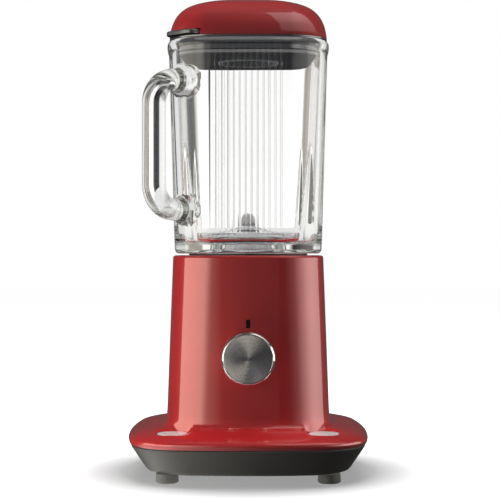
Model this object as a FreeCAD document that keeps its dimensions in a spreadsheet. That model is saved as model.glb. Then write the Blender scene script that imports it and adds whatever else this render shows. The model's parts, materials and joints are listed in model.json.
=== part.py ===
"""Countertop blender: die-cast power unit, ribbed glass jug with its blade unit, domed lid and filler cap.

The frame has +Z up, the front (the speed knob) towards -Y and the origin on the floor, on the motor's axis.
All lengths are millimetres. Every driving length is a cell of the sheet "dims".
"""
import FreeCAD
import Part
import math
import os
import Sketcher

Vector = FreeCAD.Vector
Rotation = FreeCAD.Rotation
Placement = FreeCAD.Placement

doc = FreeCAD.newDocument("countertop_blender")
sheet = doc.addObject("Spreadsheet::Sheet", "dims")
sub_parts = []

UP = Vector(0, 0, 1)
TOWARDS_FRONT = Rotation(Vector(1, 0, 0), 90)  # turns a part's own +Z to the blender's front, -Y


# ---------------------------------------------------------------- the sheet of driving lengths

class Size:
    """A length in mm that also knows the sheet expression it comes from."""

    def __init__(self, value, text):
        self.value = value
        self.text = text

    def __float__(self):
        return float(self.value)

    def __add__(self, other):
        other = as_size(other)
        return Size(self.value + other.value, f"({self.text} + {other.text})")

    def __sub__(self, other):
        other = as_size(other)
        return Size(self.value - other.value, f"({self.text} - {other.text})")

    def __mul__(self, other):
        other = as_size(other)
        return Size(self.value * other.value, f"({self.text} * {other.text})")

    def __truediv__(self, other):
        other = as_size(other)
        return Size(self.value / other.value, f"({self.text} / {other.text})")

    def __neg__(self):
        return Size(-self.value, f"(-1 * {self.text})")


def as_size(number):
    """A plain number as a Size."""
    return number if isinstance(number, Size) else Size(float(number), f"{float(number):.6f}")


def cell(alias, value, note):
    """Puts a driving length in the sheet and returns it as a Size."""
    cell.row += 1
    sheet.set(f"A{cell.row}", alias)
    sheet.set(f"B{cell.row}", str(value))
    sheet.set(f"C{cell.row}", note)
    sheet.setAlias(f"B{cell.row}", alias)
    return Size(value, f"dims.{alias}")


cell.row = 0

# power unit casing
plinth_half = cell("plinth_half", 102.6, "half width of the plinth at its widest")
plinth_bottom = cell("plinth_bottom", 30.5, "height of the plinth's lower edge")
column_foot_half = cell("column_foot_half", 69.7, "half width of the column at its foot")
column_foot = cell("column_foot", 58.0, "height where the column starts to flare")
column_top_half = cell("column_top_half", 64.9, "half width of the column at the deck")
deck = cell("deck", 187.0, "height of the deck that the jug stands on")
casting = cell("casting", 3.0, "wall thickness of the die-cast body")
tray_top_half = cell("tray_top_half", 100.9, "half width of the base tray at the seam")
tray_top = cell("tray_top", 29.5, "height of the base tray's shoulder")
tray_bottom = cell("tray_bottom", 7.6, "height of the base tray's underside")
tray_wall = cell("tray_wall", 2.8, "thickness of the base tray")
foot_offset = cell("foot_offset", 66.8, "each foot's distance from the centre planes")
foot_radius = cell("foot_radius", 9.6, "radius of a rubber foot")

# seat and drive
seat_radius = cell("seat_radius", 46.0, "inner radius of the seat cup")
seat_floor = cell("seat_floor", 160.0, "height of the seat cup's floor")
shaft_radius = cell("shaft_radius", 4.0, "radius of the motor shaft and the blade spindle")
shaft_bottom = cell("shaft_bottom", 40.0, "lower end of the motor shaft")
shaft_top = cell("shaft_top", 172.0, "upper end of the motor shaft")
dog_outer = cell("dog_outer", 11.5, "tip radius of the drive coupling's teeth")
dog_inner = cell("dog_inner", 8.0, "root radius of the drive coupling's teeth")
dog_gap = cell("dog_gap", 0.6, "clearance round the drive coupling's teeth")
dog_top = cell("dog_top", 173.5, "top of the drive coupling")

# motor
stack_bottom = cell("stack_bottom", 88.0, "underside of the stator stack")
stack_top = cell("stack_top", 126.0, "top of the stator stack")
rotor_radius = cell("rotor_radius", 22.0, "radius of the rotor stack")
air_gap = cell("air_gap", 0.6, "gap between rotor and stator")
bracket_top = cell("bracket_top", 145.0, "top of the upper motor bracket")
bracket_bottom = cell("bracket_bottom", 57.0, "underside of the lower motor bracket")
bearing_radius = cell("bearing_radius", 11.0, "outer radius of the shaft bearings")
tie_x = cell("tie_x", 38.0, "tie bolts, distance from the centre plane")
tie_y = cell("tie_y", 12.0, "tie bolts, distance from the cross plane")
post_x = cell("post_x", 46.0, "motor posts, distance from the centre plane")
post_y = cell("post_y", 30.0, "motor posts, distance from the cross plane")

# controls
knob_height = cell("knob_height", 102.6, "height of the speed knob's axis")
knob_radius = cell("knob_radius", 22.0, "radius of the speed knob")
knob_back = cell("knob_back", 69.3, "knob's back, forward of the motor axis")
knob_front = cell("knob_front", 82.3, "knob's face, forward of the motor axis")
lamp_height = cell("lamp_height", 130.6, "height of the indicator lamp")
button_x = cell("button_x", 62.3, "buttons, distance from the centre plane")
button_y = cell("button_y", 73.0, "buttons, forward of the motor axis")
button_radius = cell("button_radius", 12.2, "radius of a push button")
button_top = cell("button_top", 41.4, "height of a button's face")
button_seat = cell("button_seat", 37.6, "height where a button's flat land starts")
guide_floor_top = cell("guide_floor_top", 25.6, "height of the floor a button's spring stands on")
pin_y = cell("pin_y", 56.5, "interlock pin, behind the motor axis")

# jug
jug_foot = cell("jug_foot", 188.6, "underside of the glass jug")
jug_foot_half = cell("jug_foot_half", 63.3, "half width of the jug above its foot")
jug_rim = cell("jug_rim", 368.6, "top of the glass rim")
jug_top_half = cell("jug_top_half", 68.2, "half width of the jug under its rim")
jug_floor = cell("jug_floor", 197.0, "top of the glass floor")
neck_radius = cell("neck_radius", 37.5, "outer radius of the glass neck")
neck_bore = cell("neck_bore", 31.0, "bore of the glass neck")
neck_bottom = cell("neck_bottom", 173.6, "lower end of the glass neck")
handle_reach = cell("handle_reach", 109.0, "grip's distance from the jug's axis")
handle_high = cell("handle_high", 332.5, "height of the handle's upper arm")
handle_low = cell("handle_low", 225.0, "height of the handle's lower arm")

# blade unit
collar_radius = cell("collar_radius", 44.5, "outer radius of the screw collar")
collar_bottom = cell("collar_bottom", 165.0, "underside of the screw collar")
blade_plane = cell("blade_plane", 208.5, "underside of the lower blade's hub")
blade_reach = cell("blade_reach", 29.0, "tip radius of the blades")
blade_gauge = cell("blade_gauge", 1.5, "thickness of a blade")

# lid
lid_half = cell("lid_half", 67.8, "half width of the lid at its lower edge")
lid_bottom = cell("lid_bottom", 369.6, "height of the lid's lower edge")
lid_top = cell("lid_top", 404.6, "height of the lid's flat crown")
filler_radius = cell("filler_radius", 24.0, "bore of the filler tube")
cap_radius = cell("cap_radius", 27.0, "radius of the filler cap's flange")
doc.recompute()


# ---------------------------------------------------------------- building blocks

def origin_plane(body, role):
    """One of a body's own origin planes."""
    return [o for o in body.Origin.OriginFeatures if o.Role == role][0]


def start_body(name):
    body = doc.addObject("PartDesign::Body", name)
    body.Label = name
    return body


def new_sketch(body, tag, role, height=None):
    """A sketch on an origin plane of the body, moved along the plane's normal by height."""
    sketch = body.newObject("Sketcher::SketchObject", f"{body.Label}_{tag}")
    sketch.AttachmentSupport = [(origin_plane(body, role), "")]
    sketch.MapMode = "FlatFace"
    if height is not None:
        height = as_size(height)
        sketch.AttachmentOffset = Placement(Vector(0, 0, height.value), Rotation())
        sketch.setExpression("AttachmentOffset.Base.z", height.text)
    return sketch


def constrain(sketch, kind, geometry, point, size):
    """Holds a point's X or Y distance from the sketch's origin at a sheet expression."""
    size = as_size(size)
    if abs(size.value) < 1e-9:
        axis = -2 if kind == "DistanceX" else -1
        sketch.addConstraint(Sketcher.Constraint("PointOnObject", geometry, point, axis))
        return
    index = sketch.addConstraint(Sketcher.Constraint(kind, -1, 1, geometry, point, size.value))
    sketch.setExpression(f"Constraints[{index}]", size.text)


def add_outline(sketch, corners):
    """A closed outline of straight lines through the corners."""
    corners = [(as_size(x), as_size(y)) for x, y in corners]
    first = sketch.GeometryCount
    count = len(corners)
    points = [Vector(x.value, y.value, 0) for x, y in corners]
    lines = [Part.LineSegment(points[i], points[(i + 1) % count]) for i in range(count)]
    sketch.addGeometry(lines, False)
    joins = [
        Sketcher.Constraint("Coincident", first + i, 2, first + (i + 1) % count, 1)
        for i in range(count)
    ]
    sketch.addConstraint(joins)
    for i, (x, y) in enumerate(corners):
        constrain(sketch, "DistanceX", first + i, 1, x)
        constrain(sketch, "DistanceY", first + i, 1, y)


def add_circle(sketch, x, y, radius):
    x, y, radius = as_size(x), as_size(y), as_size(radius)
    circle = Part.Circle(Vector(x.value, y.value, 0), UP, radius.value)
    index = sketch.addGeometry(circle, False)
    ring = sketch.addConstraint(Sketcher.Constraint("Radius", index, radius.value))
    sketch.setExpression(f"Constraints[{ring}]", radius.text)
    constrain(sketch, "DistanceX", index, 3, x)
    constrain(sketch, "DistanceY", index, 3, y)


def add_turned(body, profile, tag="turned"):
    """Turns a profile of (radius, height) corners about the body's Z axis."""
    sketch = new_sketch(body, f"{tag}_profile", "XZ_Plane")
    add_outline(sketch, profile)
    turn = body.newObject("PartDesign::Revolution", f"{body.Label}_{tag}")
    turn.Profile = sketch
    turn.ReferenceAxis = (sketch, ["V_Axis"])
    turn.Angle = 360
    return turn


def draw(sketch, outlines, circles):
    for corners in outlines:
        add_outline(sketch, corners)
    for x, y, radius in circles:
        add_circle(sketch, x, y, radius)


def add_pad(body, low, high, outlines=(), circles=(), tag="pad"):
    """Adds the area inside the outlines, less any circle inside them, between two heights."""
    sketch = new_sketch(body, f"{tag}_sketch", "XY_Plane", low)
    draw(sketch, outlines, circles)
    pad = body.newObject("PartDesign::Pad", f"{body.Label}_{tag}")
    pad.Profile = sketch
    length = as_size(high) - low
    pad.Length = length.value
    pad.setExpression("Length", length.text)
    return pad


def add_pocket(body, low, high, outlines=(), circles=(), tag="pocket"):
    """Removes the area inside the outlines and circles between two heights."""
    doc.recompute()
    before = body.Shape.Volume
    sketch = new_sketch(body, f"{tag}_sketch", "XY_Plane", low)
    draw(sketch, outlines, circles)
    pocket = body.newObject("PartDesign::Pocket", f"{body.Label}_{tag}")
    pocket.Profile = sketch
    depth = as_size(high) - low
    pocket.Length = depth.value
    pocket.setExpression("Length", depth.text)
    pocket.Reversed = True
    doc.recompute()
    if body.Shape.Volume > before - 0.01:
        raise RuntimeError(f"{body.Label}: {tag} cuts nothing")
    return pocket


def add_polar(body, feature, count):
    """Repeats a feature round the body's Z axis."""
    pattern = body.newObject("PartDesign::PolarPattern", f"{feature.Name}_pattern")
    pattern.Originals = [feature]
    pattern.Axis = (origin_axis(body, "Z_Axis"), [""])
    pattern.Angle = 360
    pattern.Occurrences = count
    body.Tip = pattern
    return pattern


def origin_axis(body, role):
    return [o for o in body.Origin.OriginFeatures if o.Role == role][0]


def round_edges(body, radius, chosen, kind="Fillet"):
    """Fillets or chamfers the edges of the body that pass the test chosen."""
    doc.recompute()
    base = body.Tip
    names = [f"Edge{i + 1}" for i, edge in enumerate(base.Shape.Edges) if chosen(edge)]
    if not names:
        raise RuntimeError(f"{body.Label}: no edge to round")
    feature = body.newObject(f"PartDesign::{kind}", f"{body.Label}_{kind.lower()}_{len(body.Group)}")
    feature.Base = (base, names)
    if kind == "Fillet":
        feature.Radius = radius
    else:
        feature.Size = radius
    return feature


def circle_at(radius, height):
    """A test for circular edges of a radius at a height in the body's own frame."""
    radius, height = float(radius), float(height)

    def chosen(edge):
        is_circle = isinstance(edge.Curve, Part.Circle)
        return (
            is_circle
            and abs(edge.Curve.Radius - radius) < 0.01
            and abs(edge.Curve.Center.z - height) < 0.01
        )

    return chosen


def place(body, x=0, y=0, z=0, turn=None):
    """Puts a body at a point given by sheet expressions."""
    body.Placement = Placement(Vector(float(x), float(y), float(z)), turn or Rotation())
    for axis, size in (("x", x), ("y", y), ("z", z)):
        if isinstance(size, Size):
            body.setExpression(f"Placement.Base.{axis}", size.text)
    return body


def keep(part):
    """Marks a part as one of the blender's sub-parts."""
    sub_parts.append(part)
    return part


def turned(name, profile):
    body = start_body(name)
    add_turned(body, profile)
    return body


def group(name, bodies):
    """Several identical solids as one sub-part."""
    compound = doc.addObject("Part::Compound", name)
    compound.Label = name
    compound.Links = bodies
    return compound


def corners_of(x, y):
    """The four points (+-x, +-y)."""
    return [(x, y), (-x, y), (-x, -y), (x, -y)]


def rectangle(x0, y0, x1, y1):
    return [(x0, y0), (x1, y0), (x1, y1), (x0, y1)]


def plain_feature(name, shape):
    """A sub-part whose free-form shape is computed here, from the sheet's values."""
    feature = doc.addObject("Part::Feature", name)
    feature.Label = name
    feature.Shape = shape
    feature.Placement = shape.Placement
    return feature


# ---------------------------------------------------------------- soft squares and lofts

def soft_square_points(half, corner, side):
    """The corner arc's centre and the tangent point of a square with bowed sides and round corners."""
    offset = half - side
    centre = (offset + math.sqrt(2 * (side - corner) ** 2 - offset**2)) / 2
    reach = side / (side - corner)
    tangent = (offset + (centre - offset) * reach, centre * reach)
    return centre, tangent


def soft_square(half, z, corner, side, reeds=0, reed_span=0.0, reed_depth=0.0):
    """A closed wire: a square of half width half, its sides bowed to radius side and its corners to
    radius corner. With reeds, the front and back sides carry that many round reeds over +-reed_span."""
    half, z = float(half), float(z)
    centre, (tx, ty) = soft_square_points(half, corner, side)
    diagonal = centre + corner / math.sqrt(2)
    edges = []
    for quarter in range(4):
        spin = Rotation(UP, 90 * quarter)

        def at(x, y):
            return spin.multVec(Vector(x, y, 0)) + Vector(0, 0, z)

        has_reeds = reeds and quarter % 2 == 1
        if has_reeds:
            edges += reeded_side(at, half, side, tx, ty, reeds, reed_span, reed_depth)
        else:
            edges.append(Part.Arc(at(tx, -ty), at(half, 0), at(tx, ty)).toShape())
        edges.append(Part.Arc(at(tx, ty), at(diagonal, diagonal), at(ty, tx)).toShape())
    return Part.Wire(edges)


def reeded_side(at, half, side, tx, ty, reeds, span, depth):
    """The edges of a side with convex reeds, whose crests touch the plain side."""

    def face(y, sink=0.0):
        return half - side + math.sqrt(side**2 - y**2) - sink

    pitch = 2 * span / reeds
    middle = (ty + span) / 2
    last = at(face(span), -span)
    edges = [Part.Arc(at(tx, -ty), at(face(middle), -middle), last).toShape()]
    for i in range(reeds):
        y0 = -span + i * pitch
        y1 = y0 + pitch
        crest = at(face(y0 + pitch / 2), y0 + pitch / 2)
        is_last = i == reeds - 1
        end = at(face(y1), y1) if is_last else at(face(y1, depth), y1)
        edges.append(Part.Arc(last, crest, end).toShape())
        last = end
    edges.append(Part.Arc(last, at(face(middle), middle), at(tx, ty)).toShape())
    return edges


def loft(sections, smooth=True):
    """A solid through soft squares given as (half, z, corner, side) tuples."""
    wires = [soft_square(*section) for section in sections]
    return Part.makeLoft(wires, True, not smooth)


def cylinder(radius, low, high, x=0.0, y=0.0):
    radius, low, high = float(radius), float(low), float(high)
    return Part.makeCylinder(radius, high - low, Vector(float(x), float(y), low))


def cylinder_forward(radius, back, front, x, z):
    """A cylinder along -Y from y = -back to y = -front."""
    base = Vector(float(x), -float(back), float(z))
    return Part.makeCylinder(float(radius), float(front) - float(back), base, Vector(0, -1, 0))


def box(x0, x1, y0, y1, z0, z1):
    x0, x1, y0, y1, z0, z1 = (float(v) for v in (x0, x1, y0, y1, z0, z1))
    return Part.makeBox(x1 - x0, y1 - y0, z1 - z0, Vector(x0, y0, z0))


def corner_piece(shape):
    """Turns a shape drawn along +X to the handle's corner, front left."""
    turned_shape = shape.copy()
    turned_shape.rotate(Vector(0, 0, 0), UP, -135)
    return turned_shape


# Side radii of the plan shapes.
PLINTH_SIDE = 450.0
COLUMN_SIDE = 380.0
JUG_SIDE = 520.0
LID_SIDE = 450.0
CORNERS = [(1, 1), (-1, 1), (-1, -1), (1, -1)]


# ---------------------------------------------------------------- power unit casing

def make_body_shell():
    """The red die-cast shell: plinth, column, deck and the posts cast inside them."""
    wide = float(plinth_half)
    low = float(plinth_bottom)
    foot = float(column_foot_half)
    plinth = loft([
        (wide - 1.2, low, 45.0, PLINTH_SIDE),
        (wide, low + 3.0, 46.0, PLINTH_SIDE),
        (wide - 2.3, low + 6.6, 46.0, PLINTH_SIDE),
        (wide - 9.8, low + 9.7, 45.0, PLINTH_SIDE),
        (wide - 19.8, low + 11.9, 43.0, PLINTH_SIDE),
        (foot + 4.6, low + 13.3, 40.0, COLUMN_SIDE),
    ])
    flare = loft([
        (foot + 4.6, low + 13.3, 40.0, COLUMN_SIDE),
        (foot + 2.0, low + 15.4, 38.6, COLUMN_SIDE),
        (foot + 0.5, low + 20.0, 37.4, COLUMN_SIDE),
        (foot, float(column_foot), 37.0, COLUMN_SIDE),
    ])
    top = float(deck)
    slim = float(column_top_half)
    column = loft([
        (foot, float(column_foot), 37.0, COLUMN_SIDE),
        (slim, top - 2.2, 37.0, COLUMN_SIDE),
        (slim - 0.6, top - 0.7, 37.0, COLUMN_SIDE),
        (slim - 2.0, top, 36.0, COLUMN_SIDE),
    ], smooth=False)
    wall = float(casting)
    outside = plinth.fuse([flare, column])
    plinth_room = loft([
        (wide - wall - 1.0, low - 1.0, 43.0, PLINTH_SIDE),
        (wide - wall - 1.0, low + 3.0, 43.0, PLINTH_SIDE),
        (wide - wall - 6.0, low + 5.5, 42.0, PLINTH_SIDE),
        (wide - wall - 14.0, low + 7.6, 41.0, PLINTH_SIDE),
        (wide - wall - 24.0, low + 9.4, 40.0, PLINTH_SIDE),
    ], smooth=False)
    column_room = loft([
        (foot - wall, low - 1.0, 34.0, COLUMN_SIDE),
        (foot - wall, float(column_foot), 34.0, COLUMN_SIDE),
        (slim - wall, top - wall, 34.0, COLUMN_SIDE),
    ], smooth=False)
    shell = outside.cut(plinth_room.fuse(column_room))

    posts = [cylinder(5.0, 150.0, top - 1.0, x, y) for x, y in corners_of(float(post_x), float(post_y))]
    posts += [cylinder(4.5, 12.6, low + 10.5, x, y) for x, y in corners_of(74.0, 30.0)]
    lands = [
        cylinder(14.4, 33.4, float(button_top) - 2.6, side * float(button_x), -float(button_y))
        for side in (-1, 1)
    ]
    lands += [
        cylinder(13.4, float(button_seat), float(button_top) - 0.5, side * float(button_x), -float(button_y))
        for side in (-1, 1)
    ]
    pad = box(-6.0, 6.0, float(pin_y) + 4.62, slim, 132.0, 147.0)
    shell = shell.fuse(posts + lands + [pad])

    holes = [cylinder(float(seat_radius) + 2.9, top - 5.0, top + 1.0)]
    holes += [cylinder(1.95, 149.0, 166.0, x, y) for x, y in corners_of(float(post_x), float(post_y))]
    holes += [cylinder(1.95, 12.0, 30.0, x, y) for x, y in corners_of(74.0, 30.0)]
    for side in (-1, 1):
        x, y = side * float(button_x), -float(button_y)
        holes.append(cylinder(float(button_radius) + 0.4, 30.0, 60.0, x, y))
    holes.append(cylinder(2.7, top - 5.0, top + 1.0, 0.0, float(pin_y)))
    holes.append(cylinder_forward(5.3, 55.0, 80.0, 0.0, float(knob_height)))
    holes.append(box(-1.75, 1.75, -80.0, -55.0, float(lamp_height) - 3.75, float(lamp_height) + 3.75))
    holes.append(box(-9.0, 9.0, 85.0, 110.0, 25.0, float(plinth_bottom) + 4.4))
    return shell.cut(holes)


def make_base_tray():
    """The taupe tray under the plinth, with a lip inside the seam."""
    wide = float(tray_top_half)
    low = float(tray_bottom)
    top = float(tray_top)
    wall = float(tray_wall)
    outside = loft([
        (wide - 18.0, low, 38.0, PLINTH_SIDE),
        (wide - 14.4, low + 1.0, 39.5, PLINTH_SIDE),
        (wide - 12.2, low + 3.2, 40.5, PLINTH_SIDE),
        (wide - 0.5, top - 1.2, 44.6, PLINTH_SIDE),
        (wide, top, 45.0, PLINTH_SIDE),
    ], smooth=False)
    lip = loft([
        (wide - 4.2, top - 4.0, 41.6, PLINTH_SIDE),
        (wide - 3.0, top, 42.0, PLINTH_SIDE),
        (wide - 3.0, top + 3.0, 42.0, PLINTH_SIDE),
    ], smooth=False)
    room = loft([
        (wide - 18.0, low + wall, 37.0, PLINTH_SIDE),
        (wide - 15.0, low + wall + 1.4, 38.0, PLINTH_SIDE),
        (wide - 5.2, top - 1.0, 40.4, PLINTH_SIDE),
        (wide - 5.2, top + 4.0, 40.4, PLINTH_SIDE),
    ], smooth=False)
    tray = outside.fuse(lip).cut(room)
    floor = low + wall
    ends = [cylinder(5.0, floor - 0.5, 12.5, x, y) for x, y in corners_of(74.0, 30.0)]
    rests = [cylinder(3.0, floor - 0.5, 17.8, x, y) for x, y in corners_of(34.0, 24.0)]
    tray = tray.fuse(ends + rests)
    holes = [cylinder(2.2, low - 1.0, 14.0, x, y) for x, y in corners_of(74.0, 30.0)]
    holes += [cylinder(4.2, low - 1.0, low + 2.4, x, y) for x, y in corners_of(74.0, 30.0)]
    foot = float(foot_offset)
    holes += [cylinder(3.1, low - 1.0, 14.0, x * foot, y * foot) for x, y in CORNERS]
    vent_rows = [(-40.0 + 10.0 * i) for i in range(9)]
    holes += [box(x - 1.6, x + 1.6, 40.0, 62.0, low - 1.0, floor + 1.0) for x in vent_rows]
    holes.append(box(-8.6, 8.6, 80.0, 110.0, 22.0, 40.0))
    return tray.cut(holes)


def make_casing():
    keep(plain_feature("body_shell", make_body_shell()))
    keep(plain_feature("base_tray", make_base_tray()))

    feet = []
    for i, (x, y) in enumerate(CORNERS):
        foot = turned(f"foot_{i + 1}", [
            (0, 0), (foot_radius - 1.0, 0), (foot_radius, 1.0), (foot_radius - 0.4, tray_bottom),
            (2.9, tray_bottom), (2.9, tray_bottom + 3.0), (3.6, tray_bottom + 3.2), (2.4, tray_bottom + 5.4),
            (0, tray_bottom + 5.4),
        ])
        feet.append(place(foot, foot_offset * x, foot_offset * y, 0))
    keep(group("rubber_feet", feet))

    keep(group("base_screws", [
        place(pan_screw(f"base_screw_{i + 1}", 1.9, 16.0, 4.0, 2.2), x, y, 7.8)
        for i, (x, y) in enumerate(corners_of(74.0, 30.0))
    ]))

    cup = turned("seat_cup", [
        (8.5, seat_floor - 2.5), (seat_radius + 2.5, seat_floor - 2.5), (seat_radius + 2.5, deck + 0.02),
        (51.5, deck + 0.02), (51.5, deck + 1.5), (seat_radius + 1.0, deck + 1.5), (seat_radius, deck + 0.5),
        (seat_radius, seat_floor), (11.0, seat_floor), (11.0, seat_floor + 2.0), (8.5, seat_floor + 2.0),
    ])
    drains = add_pocket(cup, seat_floor - 3.0, seat_floor + 0.5, circles=[(36.0, 0, 2.5)], tag="drain")
    add_polar(cup, drains, 4)
    keep(cup)

    gland = start_body("cord_gland")
    add_pad(gland, 0, 17.8, [rectangle(-8.2, -4.6, 8.2, 4.6)], tag="block")
    add_pad(gland, 5.4, 7.8, [rectangle(-10.6, -4.6, 10.6, 4.6)], tag="flange")
    add_pocket(gland, -1, 24, circles=[(0, 0, 3.4)], tag="cord_hole")
    round_edges(gland, 1.6, lambda edge: is_corner_edge(edge, 8.2, 4.6))
    keep(place(gland, 0, plinth_half - 18.2, 28.9, Rotation(Vector(1, 0, 0), -90)))


def pan_screw(name, shank, length, head, depth):
    """A cross-recessed pan-head screw with its head at the bottom, at height 0."""
    screw = turned(name, [
        (0, 0), (head - 0.6, 0), (head, 0.6), (head, depth), (shank, depth), (shank, depth + length - shank),
        (0, depth + length),
    ])
    slot = 0.45
    arm = head * 0.55
    add_pocket(screw, -1, depth * 0.5, [
        [(-arm, -slot), (-slot, -slot), (-slot, -arm), (slot, -arm), (slot, -slot), (arm, -slot),
         (arm, slot), (slot, slot), (slot, arm), (-slot, arm), (-slot, slot), (-arm, slot)]
    ], tag="cross")
    return screw


# ---------------------------------------------------------------- motor

def make_motor():
    shaft = turned("motor_shaft", [
        (0, shaft_bottom), (shaft_radius - 0.5, shaft_bottom), (shaft_radius, shaft_bottom + 0.5),
        (shaft_radius, shaft_top - 0.5), (shaft_radius - 0.5, shaft_top), (0, shaft_top),
    ])
    keep(shaft)

    core = start_body("rotor_core")
    add_pad(core, stack_bottom, stack_top, circles=[(0, 0, rotor_radius), (0, 0, shaft_radius)], tag="stack")
    tunnel = add_pocket(core, stack_bottom - 1, stack_top + 1, circles=[(15.5, 0, 3.0)], tag="tunnel")
    add_polar(core, tunnel, 12)
    slot = add_pocket(core, stack_bottom - 1, stack_top + 1, [rectangle(17.0, -0.9, 24.0, 0.9)], tag="slot")
    add_polar(core, slot, 12)
    keep(core)

    winding = start_body("rotor_windings")
    add_turned(winding, [
        (9.5, stack_top + 0.3), (19.0, stack_top + 0.3), (18.0, stack_top + 6.5), (10.5, stack_top + 6.5)
    ], "upper_turns")
    add_turned(winding, [
        (9.5, stack_bottom - 0.3), (19.0, stack_bottom - 0.3), (18.0, stack_bottom - 5.5),
        (10.5, stack_bottom - 5.5),
    ], "lower_turns")
    wire = add_pad(winding, stack_bottom - 1, stack_top + 1, circles=[(15.5, 0, 2.8)], tag="wire")
    add_polar(winding, wire, 12)
    keep(winding)

    commutator = start_body("commutator")
    add_pad(commutator, 66, 80.5, circles=[(0, 0, 11.0), (0, 0, shaft_radius)], tag="drum")
    add_pad(commutator, 79, 81.5, circles=[(0, 0, 12.6), (0, 0, shaft_radius)], tag="risers")
    gap = add_pocket(commutator, 65, 82, [rectangle(10.2, -0.35, 13.5, 0.35)], tag="gap")
    add_polar(commutator, gap, 16)
    keep(commutator)

    fan = start_body("cooling_fan")
    add_pad(fan, 43, 45, circles=[(0, 0, 28.0), (0, 0, shaft_radius)], tag="disc")
    add_pad(fan, 44, 54, circles=[(0, 0, 7.5), (0, 0, shaft_radius)], tag="hub")
    blade = add_pad(fan, 44.5, 53, [[(10, -0.9), (26, 3.6), (26, 5.4), (10, 0.9)]], tag="blade")
    add_polar(fan, blade, 10)
    keep(fan)

    stator = start_body("stator_core")
    cut = 8.0
    outline = [
        (42, -38 + cut), (42, 38 - cut), (42 - cut, 38), (-42 + cut, 38),
        (-42, 38 - cut), (-42, -38 + cut), (-42 + cut, -38), (42 - cut, -38),
    ]
    add_pad(stator, stack_bottom, stack_top, [outline], [(0, 0, rotor_radius + air_gap)], tag="stack")
    windows = [rectangle(21.0, y, 31.5, y + 9.0) for y in (24.5, -33.5)]
    windows += [rectangle(-31.5, y, -21.0, y + 9.0) for y in (24.5, -33.5)]
    add_pocket(stator, stack_bottom - 1, stack_top + 1, windows, tag="windows")
    rods = [(x, y, 2.2) for x, y in corners_of(36.5, 27.5)]
    add_pocket(stator, stack_bottom - 1, stack_top + 1, circles=rods, tag="rod_holes")
    keep(stator)

    coils = []
    middle = (stack_bottom + stack_top) / 2
    for i, side in enumerate((-1, 1)):
        coil = start_body(f"field_coil_{i + 1}")
        frame = [rectangle(-30.5, -25, 30.5, 25), rectangle(-21.4, -19.4, 21.4, 19.4)]
        add_pad(coil, 0, 8, frame, tag="turns")
        round_edges(coil, 3.0, lambda edge: is_corner_edge(edge, 30.5, 25.0))
        coils.append(place(coil, 0, 33.0 if side > 0 else -25.0, middle, TOWARDS_FRONT))
    keep(group("field_coils", coils))

    keep(make_bracket("upper_bracket", bracket_top - 6, bracket_top, stack_top, 53.0, 36.0))
    keep(make_bracket("lower_bracket", bracket_bottom, bracket_bottom + 6, stack_bottom, 42.0, 36.0))
    for name, low in (("upper_bearing", bracket_top - 6.6), ("lower_bearing", bracket_bottom - 0.4)):
        keep(turned(name, [
            (shaft_radius + 0.05, low), (bearing_radius, low), (bearing_radius, low + 7.0),
            (bearing_radius - 1.6, low + 7.0), (bearing_radius - 2.2, low + 6.4), (6.4, low + 6.4),
            (5.8, low + 7.0), (shaft_radius + 0.05, low + 7.0),
        ]))

    rods = []
    for i, (x, y) in enumerate(corners_of(36.5, 27.5)):
        rod = turned(f"tie_rod_{i + 1}", [
            (0, bracket_bottom - 3.4), (3.4, bracket_bottom - 3.4), (3.4, bracket_bottom - 0.02),
            (2.0, bracket_bottom - 0.02), (2.0, bracket_top + 0.02), (3.8, bracket_top + 0.02),
            (3.8, bracket_top + 2.6), (0, bracket_top + 2.6),
        ])
        rods.append(place(rod, x, y, 0))
    keep(group("tie_rods", rods))

    grommets = []
    screws = []
    for i, (x, y) in enumerate(corners_of(post_x, post_y)):
        grommet = turned(f"grommet_{i + 1}", [
            (2.1, bracket_top + 0.02), (5.7, bracket_top + 0.02), (5.7, bracket_top + 1.6),
            (4.9, bracket_top + 2.4), (5.7, bracket_top + 3.2), (5.7, bracket_top + 4.96),
            (2.1, bracket_top + 4.96),
        ])
        grommets.append(place(grommet, x, y, 0))
        screw = pan_screw(f"motor_screw_{i + 1}", 1.9, 22.0, 4.0, 2.4)
        screws.append(place(screw, x, y, bracket_top - 8.45))
    keep(group("motor_grommets", grommets))
    keep(group("motor_screws", screws))

    make_brushes()


def is_corner_edge(edge, x, y):
    """Whether an edge runs along the body's Z axis through a corner (+-x, +-y)."""
    if len(edge.Vertexes) != 2:
        return False
    low, high = (vertex.Point for vertex in edge.Vertexes)
    upright = abs(low.x - high.x) < 0.01 and abs(low.y - high.y) < 0.01
    return upright and abs(abs(low.x) - x) < 0.01 and abs(abs(low.y) - y) < 0.01


def make_bracket(name, low, high, stack_face, half_x, half_y):
    """A motor end bracket: plate, bearing bore, screw and rod holes, and four legs to the stack."""
    bracket = start_body(name)
    outline = rectangle(-half_x, -half_y, half_x, half_y)
    add_pad(bracket, low, high, [outline], [(0, 0, bearing_radius)], tag="plate")
    spots = corners_of(36.5, 27.5)
    if stack_face.value > low.value:
        leg_low, leg_high = high - 1, stack_face
    else:
        leg_low, leg_high = stack_face, low + 1
    legs = [(x, y, 4.4) for x, y in spots]
    add_pad(bracket, leg_low, leg_high, circles=legs, tag="legs")
    add_pocket(bracket, 40, 160, circles=[(x, y, 2.2) for x, y in spots], tag="rod_holes")
    if half_x > 50:
        screws = [(x, y, 2.2) for x, y in corners_of(post_x, post_y)]
        add_pocket(bracket, low - 1, high + 1, circles=screws, tag="screw_holes")
    vents = [rectangle(x, y, x + 12, y + 9) for x in (-19.0, 7.0) for y in (-30.0, 21.0)]
    add_pocket(bracket, low - 1, high + 1, vents, tag="vents")
    round_edges(bracket, 4.0, lambda edge: is_corner_edge(edge, half_x, half_y))
    return bracket


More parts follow.
